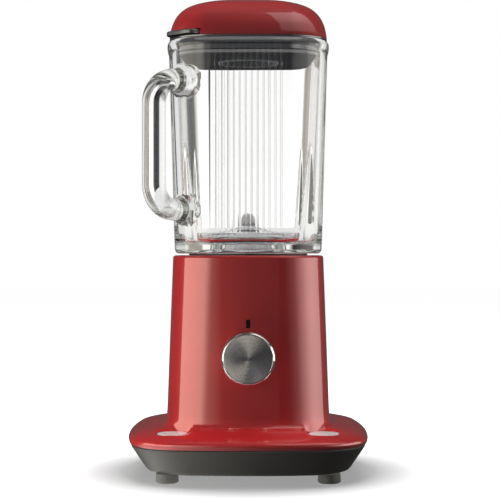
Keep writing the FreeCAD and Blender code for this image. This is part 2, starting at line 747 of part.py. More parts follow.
def make_brushes():
    """Two carbon brushes in their holders, at the left and right of the commutator."""
    holders, brushes, springs = [], [], []
    for i, side in enumerate((-1, 1)):
        turn = Rotation(UP, 0 if side > 0 else 180)
        holder = start_body(f"brush_holder_{i + 1}")
        add_pad(holder, 63.02, 79, [rectangle(13.2, -6.5, 35, 6.5)], tag="block")
        add_pocket(holder, 68.8, 77.2, [rectangle(13.0, -4.2, 33.4, 4.2)], tag="channel")
        holders.append(place(holder, turn=turn))
        brush = start_body(f"carbon_brush_{i + 1}")
        add_pad(brush, 69, 77, [rectangle(11.3, -4, 26, 4)], tag="block")
        round_edges(brush, 1.0, lambda edge: is_corner_edge(edge, 26.0, 4.0), "Chamfer")
        brushes.append(place(brush, turn=turn))
        coil = helix_spring(2.8, 0.7, 7.2, 5)
        coil.rotate(Vector(0, 0, 0), Vector(0, 1, 0), 90)
        coil.translate(Vector(26.1, 0, 73))
        coil.rotate(Vector(0, 0, 0), UP, 0 if side > 0 else 180)
        springs.append(plain_feature(f"brush_spring_{i + 1}", coil))
    keep(group("brush_holders", holders))
    keep(group("carbon_brushes", brushes))
    keep(group("brush_springs", springs))


def helix_spring(radius, wire, length, turns):
    """An open coil spring along +Z from the origin; radius is the outer radius, wire the wire's diameter."""
    mean = radius - wire / 2
    rise = length - wire
    quarters = 4 * turns

    def at(quarter):
        angle = math.pi / 2 * quarter
        return Vector(mean * math.cos(angle), mean * math.sin(angle), wire / 2 + rise * quarter / quarters)

    arcs = [Part.Arc(at(i), at(i + 0.5), at(i + 1)).toShape() for i in range(quarters)]
    slope = Vector(0, 2 * math.pi * mean, rise / turns)
    ring = Part.Wire([Part.makeCircle(wire / 2, at(0), slope)])
    return Part.Wire(arcs).makePipeShell([ring], True, True)


# ---------------------------------------------------------------- controls

def make_controls():
    depth = knob_front - knob_back
    knob = turned("speed_knob", [
        (3.05, 0.6), (5.0, 0.6), (5.0, depth - 3.2), (knob_radius - 2.2, depth - 3.2), (knob_radius - 2.2, 0),
        (knob_radius - 0.4, 0), (knob_radius, 0.4), (knob_radius, depth - 1.6), (knob_radius - 1.5, depth),
        (knob_radius - 2.0, depth), (knob_radius - 2.0, depth - 1.0), (0, depth - 1.0), (0, depth - 1.9),
        (3.05, depth - 1.9),
    ])
    keep(place(knob, 0, -knob_back, knob_height, TOWARDS_FRONT))

    disc = turned("knob_disc", [
        (0, depth - 0.98), (knob_radius - 2.15, depth - 0.98), (knob_radius - 2.15, depth - 0.45),
        (knob_radius - 2.4, depth - 0.2), (0, depth - 0.2),
    ])
    keep(place(disc, 0, -knob_back, knob_height, TOWARDS_FRONT))

    spindle = turned("knob_spindle", [
        (0, -19.5), (3.0, -19.5), (3.0, depth - 1.95), (0, depth - 1.95),
    ])
    add_pocket(spindle, 0, depth, [rectangle(1.9, -3.5, 4.0, 3.5)], tag="flat")
    keep(place(spindle, 0, -knob_back, knob_height, TOWARDS_FRONT))

    switch = start_body("speed_switch")
    add_pad(switch, -24, -7.6, [rectangle(-12.5, -12.5, 12.5, 12.5)], tag="block")
    add_pad(switch, -8, -0.9, circles=[(0, 0, 4.8)], tag="neck")
    add_pocket(switch, -20, 0, circles=[(0, 0, 3.06)], tag="spindle_bore")
    tabs = [rectangle(x, -1.6, x + 0.8, 1.6) for x in (-9.0, -3.4, 2.6, 8.2)]
    add_pad(switch, -30, -23.9, tabs, tag="tabs")
    round_edges(switch, 2.0, lambda edge: is_corner_edge(edge, 12.5, 12.5))
    keep(place(switch, 0, -knob_back, knob_height, TOWARDS_FRONT))

    lens = start_body("lamp_lens")
    add_pad(lens, -5.0, 1.2, [rectangle(-1.6, -3.6, 1.6, 3.6)], tag="light_pipe")
    add_pad(lens, -5.0, -4.0, [rectangle(-3.2, -5.2, 3.2, 5.2)], tag="flange")
    round_edges(lens, 1.2, lambda edge: is_corner_edge(edge, 1.6, 3.6))
    keep(place(lens, 0, -66.1, lamp_height, TOWARDS_FRONT))

    lamp = turned("indicator_lamp", [
        (0, 1.5), (2.5, 1.5), (2.5, 0.5), (2.1, 0.5), (2.1, -6.0), (0, -6.0),
    ][::-1])
    keep(place(lamp, 0, -58.7, lamp_height, TOWARDS_FRONT))

    board = start_body("control_board")
    holes = [(x, y, 1.4) for x, y in corners_of(34.0, 24.0)]
    add_pad(board, 17.82, 19.4, [rectangle(-40, -30, 40, 30)], holes, tag="board")
    round_edges(board, 2.0, lambda edge: is_corner_edge(edge, 40.0, 30.0))
    keep(board)
    parts = start_body("suppressor_capacitor")
    add_pad(parts, 19.42, 33, [rectangle(-26, -10, -6, 4)], tag="case")
    round_edges(parts, 1.5, lambda edge: edge.Length > 10)
    keep(parts)

    guides, switches = [], []
    for name, side in (("ice", -1), ("pulse", 1)):
        x = button_x * side
        make_button(f"{name}_button", x)
        guides.append(place(button_guide(f"{name}_guide"), x, -button_y, 0))
        switches.append(place(button_switch(f"{name}_switch", side), x, -button_y, 0))
    keep(group("button_guides", guides))
    keep(group("button_switches", switches))

    pin_top = jug_foot - 0.35
    pin = turned("interlock_pin", [
        (0, 146.0), (2.2, 146.0), (2.2, 166.0), (3.6, 166.0), (3.6, 168.0), (2.2, 168.0),
        (2.2, pin_top - 0.8), (1.4, pin_top), (0, pin_top),
    ])
    keep(place(pin, 0, pin_y, 0))
    switch = start_body("interlock_switch")
    add_pad(switch, 132, 144.8, [rectangle(-7, -4, 7, 3.4)], tag="case")
    add_pad(switch, 144, 145.6, [rectangle(-2, -1.5, 2, 1.5)], tag="plunger")
    add_pad(switch, 128, 132.2, [rectangle(-5.4, -1, -4.6, 1), rectangle(4.6, -1, 5.4, 1)], tag="tabs")
    keep(place(switch, 0, pin_y - 0.4, 0))
    spring = helix_spring(3.9, 0.6, 17.6, 6)
    spring.translate(Vector(0, float(pin_y), 148.2))
    bracket = start_body("interlock_bracket")
    add_pad(bracket, 146.5, 148.1, [rectangle(-9, -3.9, 9, 4.6)], circles=[(0, 0, 2.7)], tag="shelf")
    add_pad(bracket, 131, 148.1, [rectangle(-9, 3.2, 9, 4.6)], tag="back")
    keep(place(bracket, 0, pin_y, 0))
    keep(plain_feature("interlock_spring", spring))


def make_button(name, x):
    """A push button and the spring that returns it."""
    top = button_top
    button = turned(name, [
        (0, top - 3.0), (button_radius - 3.0, top - 3.0), (button_radius - 3.0, top - 5.4),
        (button_radius, top - 5.4), (button_radius, top - 0.4), (button_radius - 0.4, top), (0, top),
    ])
    add_pad(button, 22.6, top - 2, circles=[(0, 0, 2.4)], tag="stem")
    keep(place(button, x, -button_y, 0))

    low = guide_floor_top + 0.05
    high = top - 3.05
    spring = helix_spring(5.0, 0.8, float(high - low), 4)
    spring.translate(Vector(float(x), -float(button_y), float(low)))
    keep(plain_feature(f"{name}_spring", spring))


def button_guide(name):
    """The cup that a button's stem slides in."""
    guide = start_body(name)
    outer = button_radius + 0.3
    low = guide_floor_top - 1.6
    add_pad(guide, low, guide_floor_top, circles=[(0, 0, outer), (0, 0, 2.7)], tag="floor")
    add_pad(guide, low, guide_floor_top + 7.8, circles=[(0, 0, outer), (0, 0, outer - 2.0)], tag="wall")
    return guide


def button_switch(name, side):
    """A microswitch whose case lies towards the middle of the blender."""
    ends = sorted((1.6 * side, -8 * side))
    switch = start_body(name)
    add_pad(switch, 10.42, 19.6, [rectangle(ends[0], -1.5, ends[1], 3.6)], tag="case")
    add_pad(switch, 19.0, 20.2, circles=[(0, 0, 1.5)], tag="plunger")
    return switch


# ---------------------------------------------------------------- jug

JUG_FLUTES = 13
FLUTE_SPAN = 32.3


def make_jug():
    """The glass jug in one piece: ribbed vessel, rolled rim, threaded neck and corner handle."""
    low = float(jug_foot)
    rim = float(jug_rim)
    foot = float(jug_foot_half)
    wide = float(jug_top_half)
    vessel = loft([
        (foot - 3.4, low, 31.0, JUG_SIDE),
        (foot - 1.0, low + 1.0, 32.5, JUG_SIDE),
        (foot, low + 3.6, 33.5, JUG_SIDE),
        (wide, rim - 10.0, 35.0, JUG_SIDE),
        (wide + 1.2, rim - 7.2, 35.6, JUG_SIDE),
        (wide + 1.2, rim - 5.0, 35.6, JUG_SIDE),
        (wide - 0.2, rim - 1.4, 34.8, JUG_SIDE),
        (wide - 2.2, rim, 33.6, JUG_SIDE),
    ], smooth=False)
    neck = cylinder(neck_radius, neck_bottom, low + 4.0)
    bar = make_handle()
    outside = vessel.fuse([neck, bar])

    floor = float(jug_floor)
    inner_foot = foot - 7.2
    inner_rim = wide - 5.0
    bowl = loft([
        (inner_foot - 8.0, floor, 22.0, JUG_SIDE),
        (inner_foot - 2.2, floor + 2.6, 23.0, JUG_SIDE),
        (inner_foot - 0.4, floor + 8.0, 24.0, JUG_SIDE),
    ], smooth=False)
    flutes = Part.makeLoft([
        soft_square(inner_foot - 0.1, floor + 6.0, 24.0, JUG_SIDE, JUG_FLUTES, FLUTE_SPAN, 0.8),
        soft_square(inner_rim, rim - 7.0, 29.0, JUG_SIDE, JUG_FLUTES, FLUTE_SPAN, 0.8),
    ], True, True)
    mouth = loft([
        (inner_rim - 0.1, rim - 8.0, 29.0, JUG_SIDE),
        (inner_rim + 0.2, rim - 4.0, 29.2, JUG_SIDE),
        (inner_rim + 1.2, rim + 1.0, 30.0, JUG_SIDE),
    ], smooth=False)
    room = bowl.fuse([flutes, mouth]).cut(make_ribs())
    bore = cylinder(neck_bore, neck_bottom - 1.0, floor + 1.0)
    jug = outside.cut(room).cut(bore)
    return jug


def make_ribs():
    """Four tapered ribs up the jug's inner corners, which break the swirl."""
    low = float(jug_floor) - 2.0
    high = float(jug_rim) - 70.0
    ribs = []
    for x, y in CORNERS:
        foot = Vector(48.6 * x, 48.6 * y, low)
        tip = Vector(52.4 * x, 52.4 * y, high)
        ribs.append(Part.makeCone(8.2, 0.6, (tip - foot).Length, foot, tip - foot))
    return ribs


def make_handle():
    """The handle's bar with its two flared roots, still solid where it enters the jug's wall."""
    reach = float(handle_reach)
    high = float(handle_high)
    low = float(handle_low)
    bend = 20.0
    root = 76.0
    mid = bend * math.sin(math.radians(45))
    path = Part.Wire([
        Part.makeLine(Vector(root, 0, high), Vector(reach - bend, 0, high)),
        Part.Arc(
            Vector(reach - bend, 0, high),
            Vector(reach - bend + mid, 0, high - bend + mid),
            Vector(reach, 0, high - bend),
        ).toShape(),
        Part.makeLine(Vector(reach, 0, high - bend), Vector(reach, 0, low + bend)),
        Part.Arc(
            Vector(reach, 0, low + bend),
            Vector(reach - bend + mid, 0, low + bend - mid),
            Vector(reach - bend, 0, low),
        ).toShape(),
        Part.makeLine(Vector(reach - bend, 0, low), Vector(root - 6.0, 0, low)),
    ])
    ellipse = Part.Ellipse(Vector(0, 0, 0), 10.8, 8.8).toShape()
    ring = Part.Wire([ellipse])
    across = Rotation(Vector(0, 1, 0), Vector(0, 0, 1), Vector(1, 0, 0))
    ring.Placement = Placement(Vector(root, 0, high), across)
    bar = path.makePipeShell([ring], True, False)
    roots = [
        Part.makeCone(17.0, 9.6, 14.0, Vector(74.0, 0, high), Vector(1, 0, 0)),
        Part.makeCone(17.0, 9.6, 14.0, Vector(70.0, 0, low), Vector(1, 0, 0)),
    ]
    return corner_piece(bar.fuse(roots))


def make_blade_unit():
    keep(turned("jug_sealing_ring", [
        (neck_bore + 0.6, neck_bottom - 1.6), (neck_radius - 1.2, neck_bottom - 1.6),
        (neck_radius - 0.6, neck_bottom - 1.0), (neck_radius - 0.6, neck_bottom - 0.02),
        (neck_bore + 0.6, neck_bottom - 0.02),
    ]))
    step = neck_bottom - 1.62
    keep(turned("blade_housing", [
        (neck_radius - 0.6, step - 2.6), (neck_radius - 0.6, step), (neck_bore - 0.3, step),
        (neck_bore - 0.3, 193), (28, 195.8), (14, 198.6), (10, 200.6), (10, 205), (6.55, 205), (6.55, 178.6),
        (10, 178.6), (10, 193.5), (25.5, 190.6), (27.5, 187.5), (27.5, step - 2.6),
    ]))
    collar = turned("screw_collar", [
        (24, collar_bottom), (collar_radius - 1.0, collar_bottom), (collar_radius, collar_bottom + 1.0),
        (collar_radius, 185), (collar_radius - 0.8, 186), (neck_radius + 0.5, 186),
        (neck_radius + 0.5, step - 2.64),
        (24, step - 2.64),
    ])
    grip = add_pocket(collar, collar_bottom + 3, 187, circles=[(collar_radius + 1.9, 0, 2.6)], tag="grip")
    add_polar(collar, grip, 30)
    keep(collar)
    keep(turned("spindle_bush", [
        (shaft_radius + 0.05, 178.8), (6.5, 178.8), (6.5, 204.8), (shaft_radius + 0.05, 204.8),
    ]))
    keep(turned("spindle_seal", [
        (shaft_radius + 0.05, 205.02), (9.0, 205.02), (9.0, 206.6), (7.0, 207.8),
        (shaft_radius + 0.05, 207.8),
    ]))
    keep(turned("blade_spindle", [
        (0, 174.6), (shaft_radius, 174.6), (shaft_radius, 220.4), (shaft_radius - 0.6, 221), (0, 221),
    ]))

    coupling = start_body("jug_coupling")
    coupling_top = dog_top + 3.6
    add_pad(coupling, 165.6, coupling_top, circles=[(0, 0, 17.0)], tag="drum")
    hollow = star(dog_outer + dog_gap, dog_inner + dog_gap)
    add_pocket(coupling, 165, dog_top + 1.0, [hollow], tag="socket")
    add_pocket(coupling, dog_top, coupling_top + 1, circles=[(0, 0, shaft_radius + 0.01)], tag="bore")
    round_edges(coupling, 1.2, circle_at(17.0, coupling_top))
    keep(coupling)

    drive = start_body("drive_coupling")
    add_pad(drive, 163.4, dog_top, [star(dog_outer, dog_inner)], tag="dogs")
    add_pad(drive, 162.8, 164.8, circles=[(0, 0, 13.5)], tag="flange")
    add_pocket(drive, 162, shaft_top + 0.05, circles=[(0, 0, shaft_radius + 0.01)], tag="bore")
    keep(drive)

    keep(make_blade("lower_blade", blade_plane, -24, 0))
    keep(make_blade("upper_blade", blade_plane + 3.5, 28, 90))
    plane = blade_plane + blade_gauge
    keep(turned("blade_spacer", [
        (shaft_radius + 0.01, plane + 0.01), (7.5, plane + 0.01), (7.5, plane + 1.99),
        (shaft_radius + 0.01, plane + 1.99),
    ]))
    nut = start_body("blade_nut")
    hexagon = [(6.5 * math.cos(math.radians(60 * i)), 6.5 * math.sin(math.radians(60 * i))) for i in range(6)]
    add_pad(nut, plane + 3.51, plane + 9, [hexagon], [(0, 0, shaft_radius + 0.01)], tag="hexagon")
    keep(nut)


def star(outer, inner):
    """A six-pointed outline between two radii, its tips and roots flattened."""
    points = []
    for i in range(6):
        for radius, angle in ((inner, -15), (outer, -9), (outer, 9), (inner, 15)):
            turn = math.radians(60 * i + angle)
            points.append((radius * math.cos(turn), radius * math.sin(turn)))
    return points


def make_blade(name, plane, bend, heading):
    """A two-armed blade: flat hub, arms bent by an angle, each tip cut to a sickle edge."""
    reach = float(blade_reach)
    gauge = float(blade_gauge)
    hub = 9.0
    flat = Part.makeBox(2 * hub, 13.0, gauge, Vector(-hub, -6.5, 0))
    outline = Part.makePolygon([
        Vector(-1.5, -6.5, 0), Vector(reach - hub - 5.0, -5.2, 0), Vector(reach - hub, -1.0, 0),
        Vector(reach - hub - 2.0, 3.2, 0), Vector(-1.5, 6.5, 0), Vector(-1.5, -6.5, 0),
    ])
    arm = Part.Face(outline).extrude(Vector(0, 0, gauge))
    arm.rotate(Vector(0, 0, gauge / 2), Vector(0, 1, 0), -bend)
    arm.translate(Vector(hub, 0, 0))
    other = arm.copy()
    other.rotate(Vector(0, 0, 0), UP, 180)
    blade = flat.fuse([arm, other]).cut(Part.makeCylinder(float(shaft_radius) + 0.01, 8, Vector(0, 0, -3)))
    blade.rotate(Vector(0, 0, 0), UP, heading)
    blade.translate(Vector(0, 0, float(plane)))
    return plain_feature(name, blade)


# ---------------------------------------------------------------- lid

def lid_loft(inset, drop):
    """The lid's pillow-shaped solid, inset from the outer surface."""
    low = float(lid_bottom)
    half = float(lid_half)
    crown = float(lid_top)
    rows = [
        (half, low), (half - 0.5, low + 5.0), (half - 2.2, low + 12.0), (half - 5.8, low + 19.4),
        (half - 11.5, low + 25.6), (half - 19.2, low + 30.0), (half - 28.4, low + 33.0),
        (half - 37.0, crown - 0.6),
    ]
    sections = []
    for row_half, z in rows:
        scale = row_half / half
        sections.append((row_half - inset, z - drop, 34.0 * scale**0.7 - inset * 0.5, LID_SIDE * scale))
    return loft(sections)


def make_lid_cover():
    """The domed cover with the filler tube under its crown and a slot for the seal's finger tab."""
    low = float(lid_bottom)
    crown = float(lid_top)
    outside = lid_loft(0.0, 0.0)
    room = lid_loft(2.6, 2.6)
    skirt_room = loft([
        (float(lid_half) - 2.6, low - 3.0, 32.7, LID_SIDE), (float(lid_half) - 2.6, low - 2.0, 32.7, LID_SIDE)
    ], smooth=False)
    cover = outside.cut(room).cut(skirt_room)
    bore = float(filler_radius)
    tube = cylinder(bore + 6.0, crown - 8.0, crown - 1.6).fuse(cylinder(bore + 2.4, low - 17.0, crown - 6.0))
    cover = cover.fuse(tube)
    seat = cylinder(float(cap_radius) + 0.6, crown - 4.0, crown + 3.0)
    cover = cover.cut(cylinder(bore, low - 18.0, crown + 2.0).fuse(seat))
    slot = box(60.0, 100.0, -18.4, 18.4, low - 1.0, low + 5.2)
    return cover.cut(corner_piece(slot))


def make_lid_seal():
    """The rubber plug round the lid: a flange on the glass, two wiping lips, an underside that reaches in to
    the filler tube, and the corner finger tab."""
    low = float(lid_bottom)
    under = low - 15.6
    inner = float(lid_half) - 2.6
    rows = [
        (57.8, under, 26.0), (59.4, under + 1.6, 26.6), (60.2, under + 4.2, 27.0), (61.2, under + 5.0, 27.4),
        (60.2, under + 5.8, 27.0), (60.3, under + 9.2, 27.0), (61.2, under + 10.0, 27.4),
        (60.3, under + 10.8, 27.0), (60.6, low - 1.0, 27.4), (67.2, low - 0.95, 34.2),
        (67.4, low - 0.04, 34.3),
        (inner - 1.0, low - 0.02, 33.4), (inner - 1.1, low + 4.6, 33.4),
    ]
    outside = loft([(half, z, corner, JUG_SIDE) for half, z, corner in rows], smooth=False)
    room = loft([
        (55.4, under + 2.2, 24.6, JUG_SIDE), (57.0, low - 4.0, 25.6, JUG_SIDE),
        (57.5, low + 7.0, 26.0, JUG_SIDE),
    ], smooth=False)
    around_tube = float(filler_radius) + 2.7
    sleeve = cylinder(around_tube + 2.4, under + 1.0, under + 7.0)
    tab = box(66.0, 84.0, -16.6, 16.6, low + 0.6, low + 4.6)
    tip = [edge for edge in tab.Edges if abs(edge.BoundBox.XMin - 84) < 0.01 and edge.BoundBox.ZLength > 3]
    tab = tab.makeFillet(7.0, tip)
    rims = [edge for edge in tab.Edges if edge.BoundBox.XMax > 70 and edge.BoundBox.ZLength < 0.01]
    tab = tab.makeFillet(1.0, rims)
    plug = outside.fuse(corner_piece(tab)).cut(room).fuse(sleeve)
    return plug.cut(cylinder(around_tube, under - 1.0, low))


def make_lid():
    keep(plain_feature("lid_cover", make_lid_cover()))
    keep(plain_feature("lid_seal", make_lid_seal()))
    crown = lid_top
    keep(turned("filler_gasket", [
        (filler_radius + 0.1, crown - 3.98), (cap_radius, crown - 3.98), (cap_radius, crown - 3.2),
        (filler_radius + 0.1, crown - 3.2),
    ]))
    cap = turned("filler_cap", [
        (0, crown - 2.2), (filler_radius - 2.6, crown - 2.2), (filler_radius - 3.6, crown - 30),
        (filler_radius - 1.4, crown - 30), (filler_radius - 0.5, crown - 3.1), (cap_radius, crown - 3.1),
        (cap_radius, crown - 1.4), (cap_radius - 1.2, crown - 0.4), (10, crown + 0.6), (0, crown + 0.8),
    ])
    add_pad(cap, crown - 2.0, crown + 1.6, [rectangle(-14, -2.6, 14, 2.6)], tag="grip")
    keep(cap)


# ---------------------------------------------------------------- build and export

make_casing()
make_motor()
make_controls()
keep(plain_feature("glass_jug", make_jug()))
make_blade_unit()
make_lid()
doc.recompute()

os.makedirs("parts", exist_ok=True)
for item in doc.Objects:
    if "Invalid" in item.State or "Error" in item.State:
        raise RuntimeError(f"{item.Label}: {item.State}")
for part in sub_parts:
    if part.Shape.isNull() or not part.Shape.isValid():
        raise RuntimeError(f"{part.Label}: the shape is not valid")
    part.Shape.exportStep(f"parts/{part.Label}.step")
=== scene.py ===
"""The looks of the countertop blender: red enamel power unit, fluted glass jug, red lid and cap.

The scene is in metres in the CAD frame: +Z up, the front towards -Y, the floor at z = 0.
The shape functions take millimetres and make metres.
"""

import json
import math

import bmesh
import bpy
from mathutils import Matrix, Vector


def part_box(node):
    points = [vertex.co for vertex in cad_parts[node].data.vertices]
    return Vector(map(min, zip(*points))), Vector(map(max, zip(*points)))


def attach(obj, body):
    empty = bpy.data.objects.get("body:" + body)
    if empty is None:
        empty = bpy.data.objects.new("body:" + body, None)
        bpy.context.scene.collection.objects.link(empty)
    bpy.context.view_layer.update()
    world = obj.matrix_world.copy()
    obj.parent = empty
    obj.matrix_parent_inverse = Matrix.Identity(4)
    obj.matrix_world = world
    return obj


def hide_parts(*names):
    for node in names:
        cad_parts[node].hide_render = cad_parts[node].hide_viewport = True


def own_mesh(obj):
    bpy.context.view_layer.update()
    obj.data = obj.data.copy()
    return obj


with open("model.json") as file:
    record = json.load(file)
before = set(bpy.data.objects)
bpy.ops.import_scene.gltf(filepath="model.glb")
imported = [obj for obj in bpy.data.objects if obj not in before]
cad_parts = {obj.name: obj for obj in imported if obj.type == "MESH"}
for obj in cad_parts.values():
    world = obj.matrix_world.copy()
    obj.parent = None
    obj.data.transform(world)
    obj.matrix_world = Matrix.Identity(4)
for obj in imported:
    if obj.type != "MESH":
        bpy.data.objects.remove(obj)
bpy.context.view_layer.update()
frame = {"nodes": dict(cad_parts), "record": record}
NODES = frame["nodes"]
MM = 0.001


# ---------------------------------------------------------------- mesh helpers

def soft_square(half, corner, side, n_side=30, n_corner=36):
    """Points of a square of half width half with bowed sides and round corners.

    corner and side are the radii of both; n_side and n_corner are the points on each of them.
    """
    offset = half - side
    centre = (offset + math.sqrt(2 * (side - corner) ** 2 - offset**2)) / 2
    reach = side / (side - corner)
    tx = offset + (centre - offset) * reach
    ty = centre * reach
    side_angle = math.asin(ty / side)
    low = math.atan2(ty - centre, tx - centre)
    high = math.atan2(tx - centre, ty - centre)
    points = []
    for quarter in range(4):
        spin = Matrix.Rotation(quarter * math.pi / 2, 2)
        for i in range(n_side):
            a = side_angle * (2 * i / n_side - 1)
            points.append(spin @ Vector((offset + side * math.cos(a), side * math.sin(a))))
        for i in range(n_corner):
            a = low + (high - low) * i / n_corner
            x, y = centre + corner * math.cos(a), centre + corner * math.sin(a)
            points.append(spin @ Vector((x, y)))
    return points


def circle_like(points, radius):
    """A circle with one point in the direction of each given point."""
    return [p.normalized() * radius for p in points]


def at_height(points, z):
    """2-D points in mm as 3-D points in metres."""
    return [Vector((p.x * MM, p.y * MM, z * MM)) for p in points]


def smooth_profile(corners, step):
    """Catmull-Rom points through rows of numbers, about step apart in their first two numbers."""
    rows = []
    last = len(corners) - 1
    for i in range(last):
        p0, p1, p2, p3 = (corners[min(max(k, 0), last)] for k in (i - 1, i, i + 1, i + 2))
        count = max(1, round(math.dist(p1[:2], p2[:2]) / step))
        for k in range(count):
            t = k / count
            rows.append(tuple(
                0.5 * (
                    2 * b + (c - a) * t + (2 * a - 5 * b + 4 * c - d) * t**2
                    + (3 * b - a - 3 * c + d) * t**3
                )
                for a, b, c, d in zip(p0, p1, p2, p3)
            ))
    rows.append(tuple(corners[-1]))
    return rows


def new_object(name, vertices, faces, smooth=True):
    """A mesh object in the scene."""
    mesh = bpy.data.meshes.new(name)
    mesh.from_pydata([tuple(v) for v in vertices], [], faces)
    mesh.validate()
    obj = bpy.data.objects.new(name, mesh)
    bpy.context.scene.collection.objects.link(obj)
    tidy_normals(obj)
    if smooth:
        for face in mesh.polygons:
            face.use_smooth = True
    return obj


def tidy_normals(obj):
    """Joins doubled vertices and turns all faces outwards."""
    edit = bmesh.new()
    edit.from_mesh(obj.data)
    bmesh.ops.remove_doubles(edit, verts=edit.verts, dist=1e-7)
    bmesh.ops.recalc_face_normals(edit, faces=edit.faces)
    edit.to_mesh(obj.data)
    edit.free()


def ringed(name, rings, cap_start=False, cap_end=False, closed=False):
    """A surface through rings of equally many points. closed joins the last ring to the first."""
    count = len(rings[0])
    vertices = [v for ring in rings for v in ring]
    faces = []
    pairs = len(rings) if closed else len(rings) - 1
    for r in range(pairs):
        a = r * count
        b = ((r + 1) % len(rings)) * count
        for i in range(count):
            j = (i + 1) % count
            faces.append((a + i, a + j, b + j, b + i))
    for wanted, start in ((cap_start, 0), (cap_end, (len(rings) - 1) * count)):
        if wanted:
            middle = sum(vertices[start:start + count], Vector()) / count
            vertices.append(middle)
            hub = len(vertices) - 1
            faces += [(start + i, start + (i + 1) % count, hub) for i in range(count)]
    return new_object(name, vertices, faces)


def angles(count):
    """Equal steps of a full turn in radians."""
    return [2 * math.pi * k / count for k in range(count)]


def lathe(name, profile, segments=128, place=None):
    """Turns (radius, height) points in mm about Z. Points on the axis close the shape."""
    rings = []
    for radius, z in profile:
        radius = max(radius, 1e-4)
        rings.append([
            Vector((radius * math.cos(a) * MM, radius * math.sin(a) * MM, z * MM))
            for a in angles(segments)
        ])
    obj = ringed(name, rings)
    if place is not None:
        obj.data.transform(place)
    return obj


def box_cutter(name, low, high, bevel=0.0):
    """A box between two corners in mm, its upright edges rounded."""
    edit = bmesh.new()
    bmesh.ops.create_cube(edit, size=1.0)
    for v in edit.verts:
        for i in range(3):
            v.co[i] = (low[i] if v.co[i] < 0 else high[i]) * MM
    if bevel:
        upright = [e for e in edit.edges if abs(e.verts[0].co.z - e.verts[1].co.z) > 1e-6]
        bmesh.ops.bevel(
            edit, geom=upright, offset=bevel * MM, segments=6, affect="EDGES", profile=0.5,
        )
    mesh = bpy.data.meshes.new(name)
    edit.to_mesh(mesh)
    edit.free()
    obj = bpy.data.objects.new(name, mesh)
    bpy.context.scene.collection.objects.link(obj)
    return obj


def rod(name, radius, low, high, x=0.0, y=0.0, segments=96):
    """An upright cylinder in mm."""
    place = Matrix.Translation((x * MM, y * MM, 0))
    return lathe(name, [(0, low), (radius, low), (radius, high), (0, high)], segments, place)


def carve(obj, tools, operation="DIFFERENCE"):
    """Applies exact booleans and removes the tools."""
    for tool in tools:
        modifier = obj.modifiers.new("cut", "BOOLEAN")
        modifier.operation = operation
        modifier.solver = "EXACT"
        modifier.object = tool
        apply_modifiers(obj)
        bpy.data.objects.remove(tool)


def apply_modifiers(obj):
    """Puts what an object's modifiers make into its mesh."""
    bpy.context.view_layer.update()
    depsgraph = bpy.context.evaluated_depsgraph_get()
    mesh = bpy.data.meshes.new_from_object(obj.evaluated_get(depsgraph))
    old = obj.data
    obj.modifiers.clear()
    obj.data = mesh
    bpy.data.meshes.remove(old)


def sharp_above(obj, degrees):
    """Smooth shading except across edges sharper than an angle."""
    edit = bmesh.new()
    edit.from_mesh(obj.data)
    limit = math.radians(degrees)
    for edge in edit.edges:
        edge.smooth = len(edge.link_faces) == 2 and edge.calc_face_angle(0.0) < limit
    for face in edit.faces:
        face.smooth = True
    edit.to_mesh(obj.data)
    edit.free()


def forward(height, back):
    """Turns a lathe's +Z to the front (-Y), its zero at a height and a distance before the axis."""
    return Matrix.Translation((0, -back * MM, height * MM)) @ Matrix.Rotation(math.pi / 2, 4, "X")


def box_mm(node):
    """A CAD node's lowest and highest corners in mm."""
    low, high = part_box(node)
    return low / MM, high / MM


def middle_mm(node):
    """The middle of a CAD node's box in mm."""
    return tuple((a + b) / 2 for a, b in zip(*box_mm(node)))


# ---------------------------------------------------------------- materials

class Nodes:
    """A node tree with short ways to add nodes."""

    def __init__(self, tree):
        self.tree = tree

    def node(self, kind, **settings):
        node = self.tree.nodes.new(kind)
        for key, value in settings.items():
            setattr(node, key, value)
        return node

    def link(self, source, target):
        self.tree.links.new(source, target)

    def feed(self, target, value):
        """Links a socket to the target, or sets a number or tuple there."""
        if isinstance(value, bpy.types.NodeSocket):
            self.link(value, target)
        else:
            target.default_value = value

    def calculate(self, kind, operation, *values):
        """The result of a Math or VectorMath node."""
        node = self.node(f"ShaderNode{kind}", operation=operation)
        for target, value in zip(node.inputs, values):
            self.feed(target, value)
        return node.outputs["Value" if kind == "Math" or operation == "LENGTH" else "Vector"]

    def parts(self, vector):
        """The X, Y and Z of a vector."""
        split = self.node("ShaderNodeSeparateXYZ")
        self.link(vector, split.inputs["Vector"])
        return split.outputs

    def spread(self, value, low, high, start=0.3, end=0.7):
        """Maps a value from start..end to low..high."""
        node = self.node("ShaderNodeMapRange")
        limits = {"From Min": start, "From Max": end, "To Min": low, "To Max": high}
        for name, limit in limits.items():
            node.inputs[name].default_value = limit
        self.link(value, node.inputs["Value"])
        return node.outputs["Result"]

    def ramp(self, value, stops):
        """The colour of a value on a ramp through (place, brightness or colour) stops."""
        ramp = self.node("ShaderNodeValToRGB")
        elements = ramp.color_ramp.elements
        elements[0].position, elements[-1].position = stops[0][0], stops[-1][0]
        for place, _ in stops[1:-1]:
            elements.new(place)
        in_order = sorted(elements, key=lambda e: e.position)
        for element, (_, shade) in zip(in_order, stops):
            colour = shade if isinstance(shade, tuple) else (shade, shade, shade)
            element.color = (*colour, 1.0)
        self.link(value, ramp.inputs["Fac"])
        return ramp.outputs["Color"]

    def by_ray(self, camera, through_glass, other):
        """Picks one of three shaders: for camera rays, for rays that passed glass, for others."""
        rays = self.node("ShaderNodeLightPath").outputs
        passed = self.calculate("Math", "MINIMUM", rays["Transmission Depth"], 1.0)
        result = other
        for factor, shader in ((passed, through_glass), (rays["Is Camera Ray"], camera)):
            node = self.node("ShaderNodeMixShader")
            for target, source in zip(node.inputs, (factor, result, shader)):
                self.link(source, target)
            result = node.outputs["Shader"]
        return result


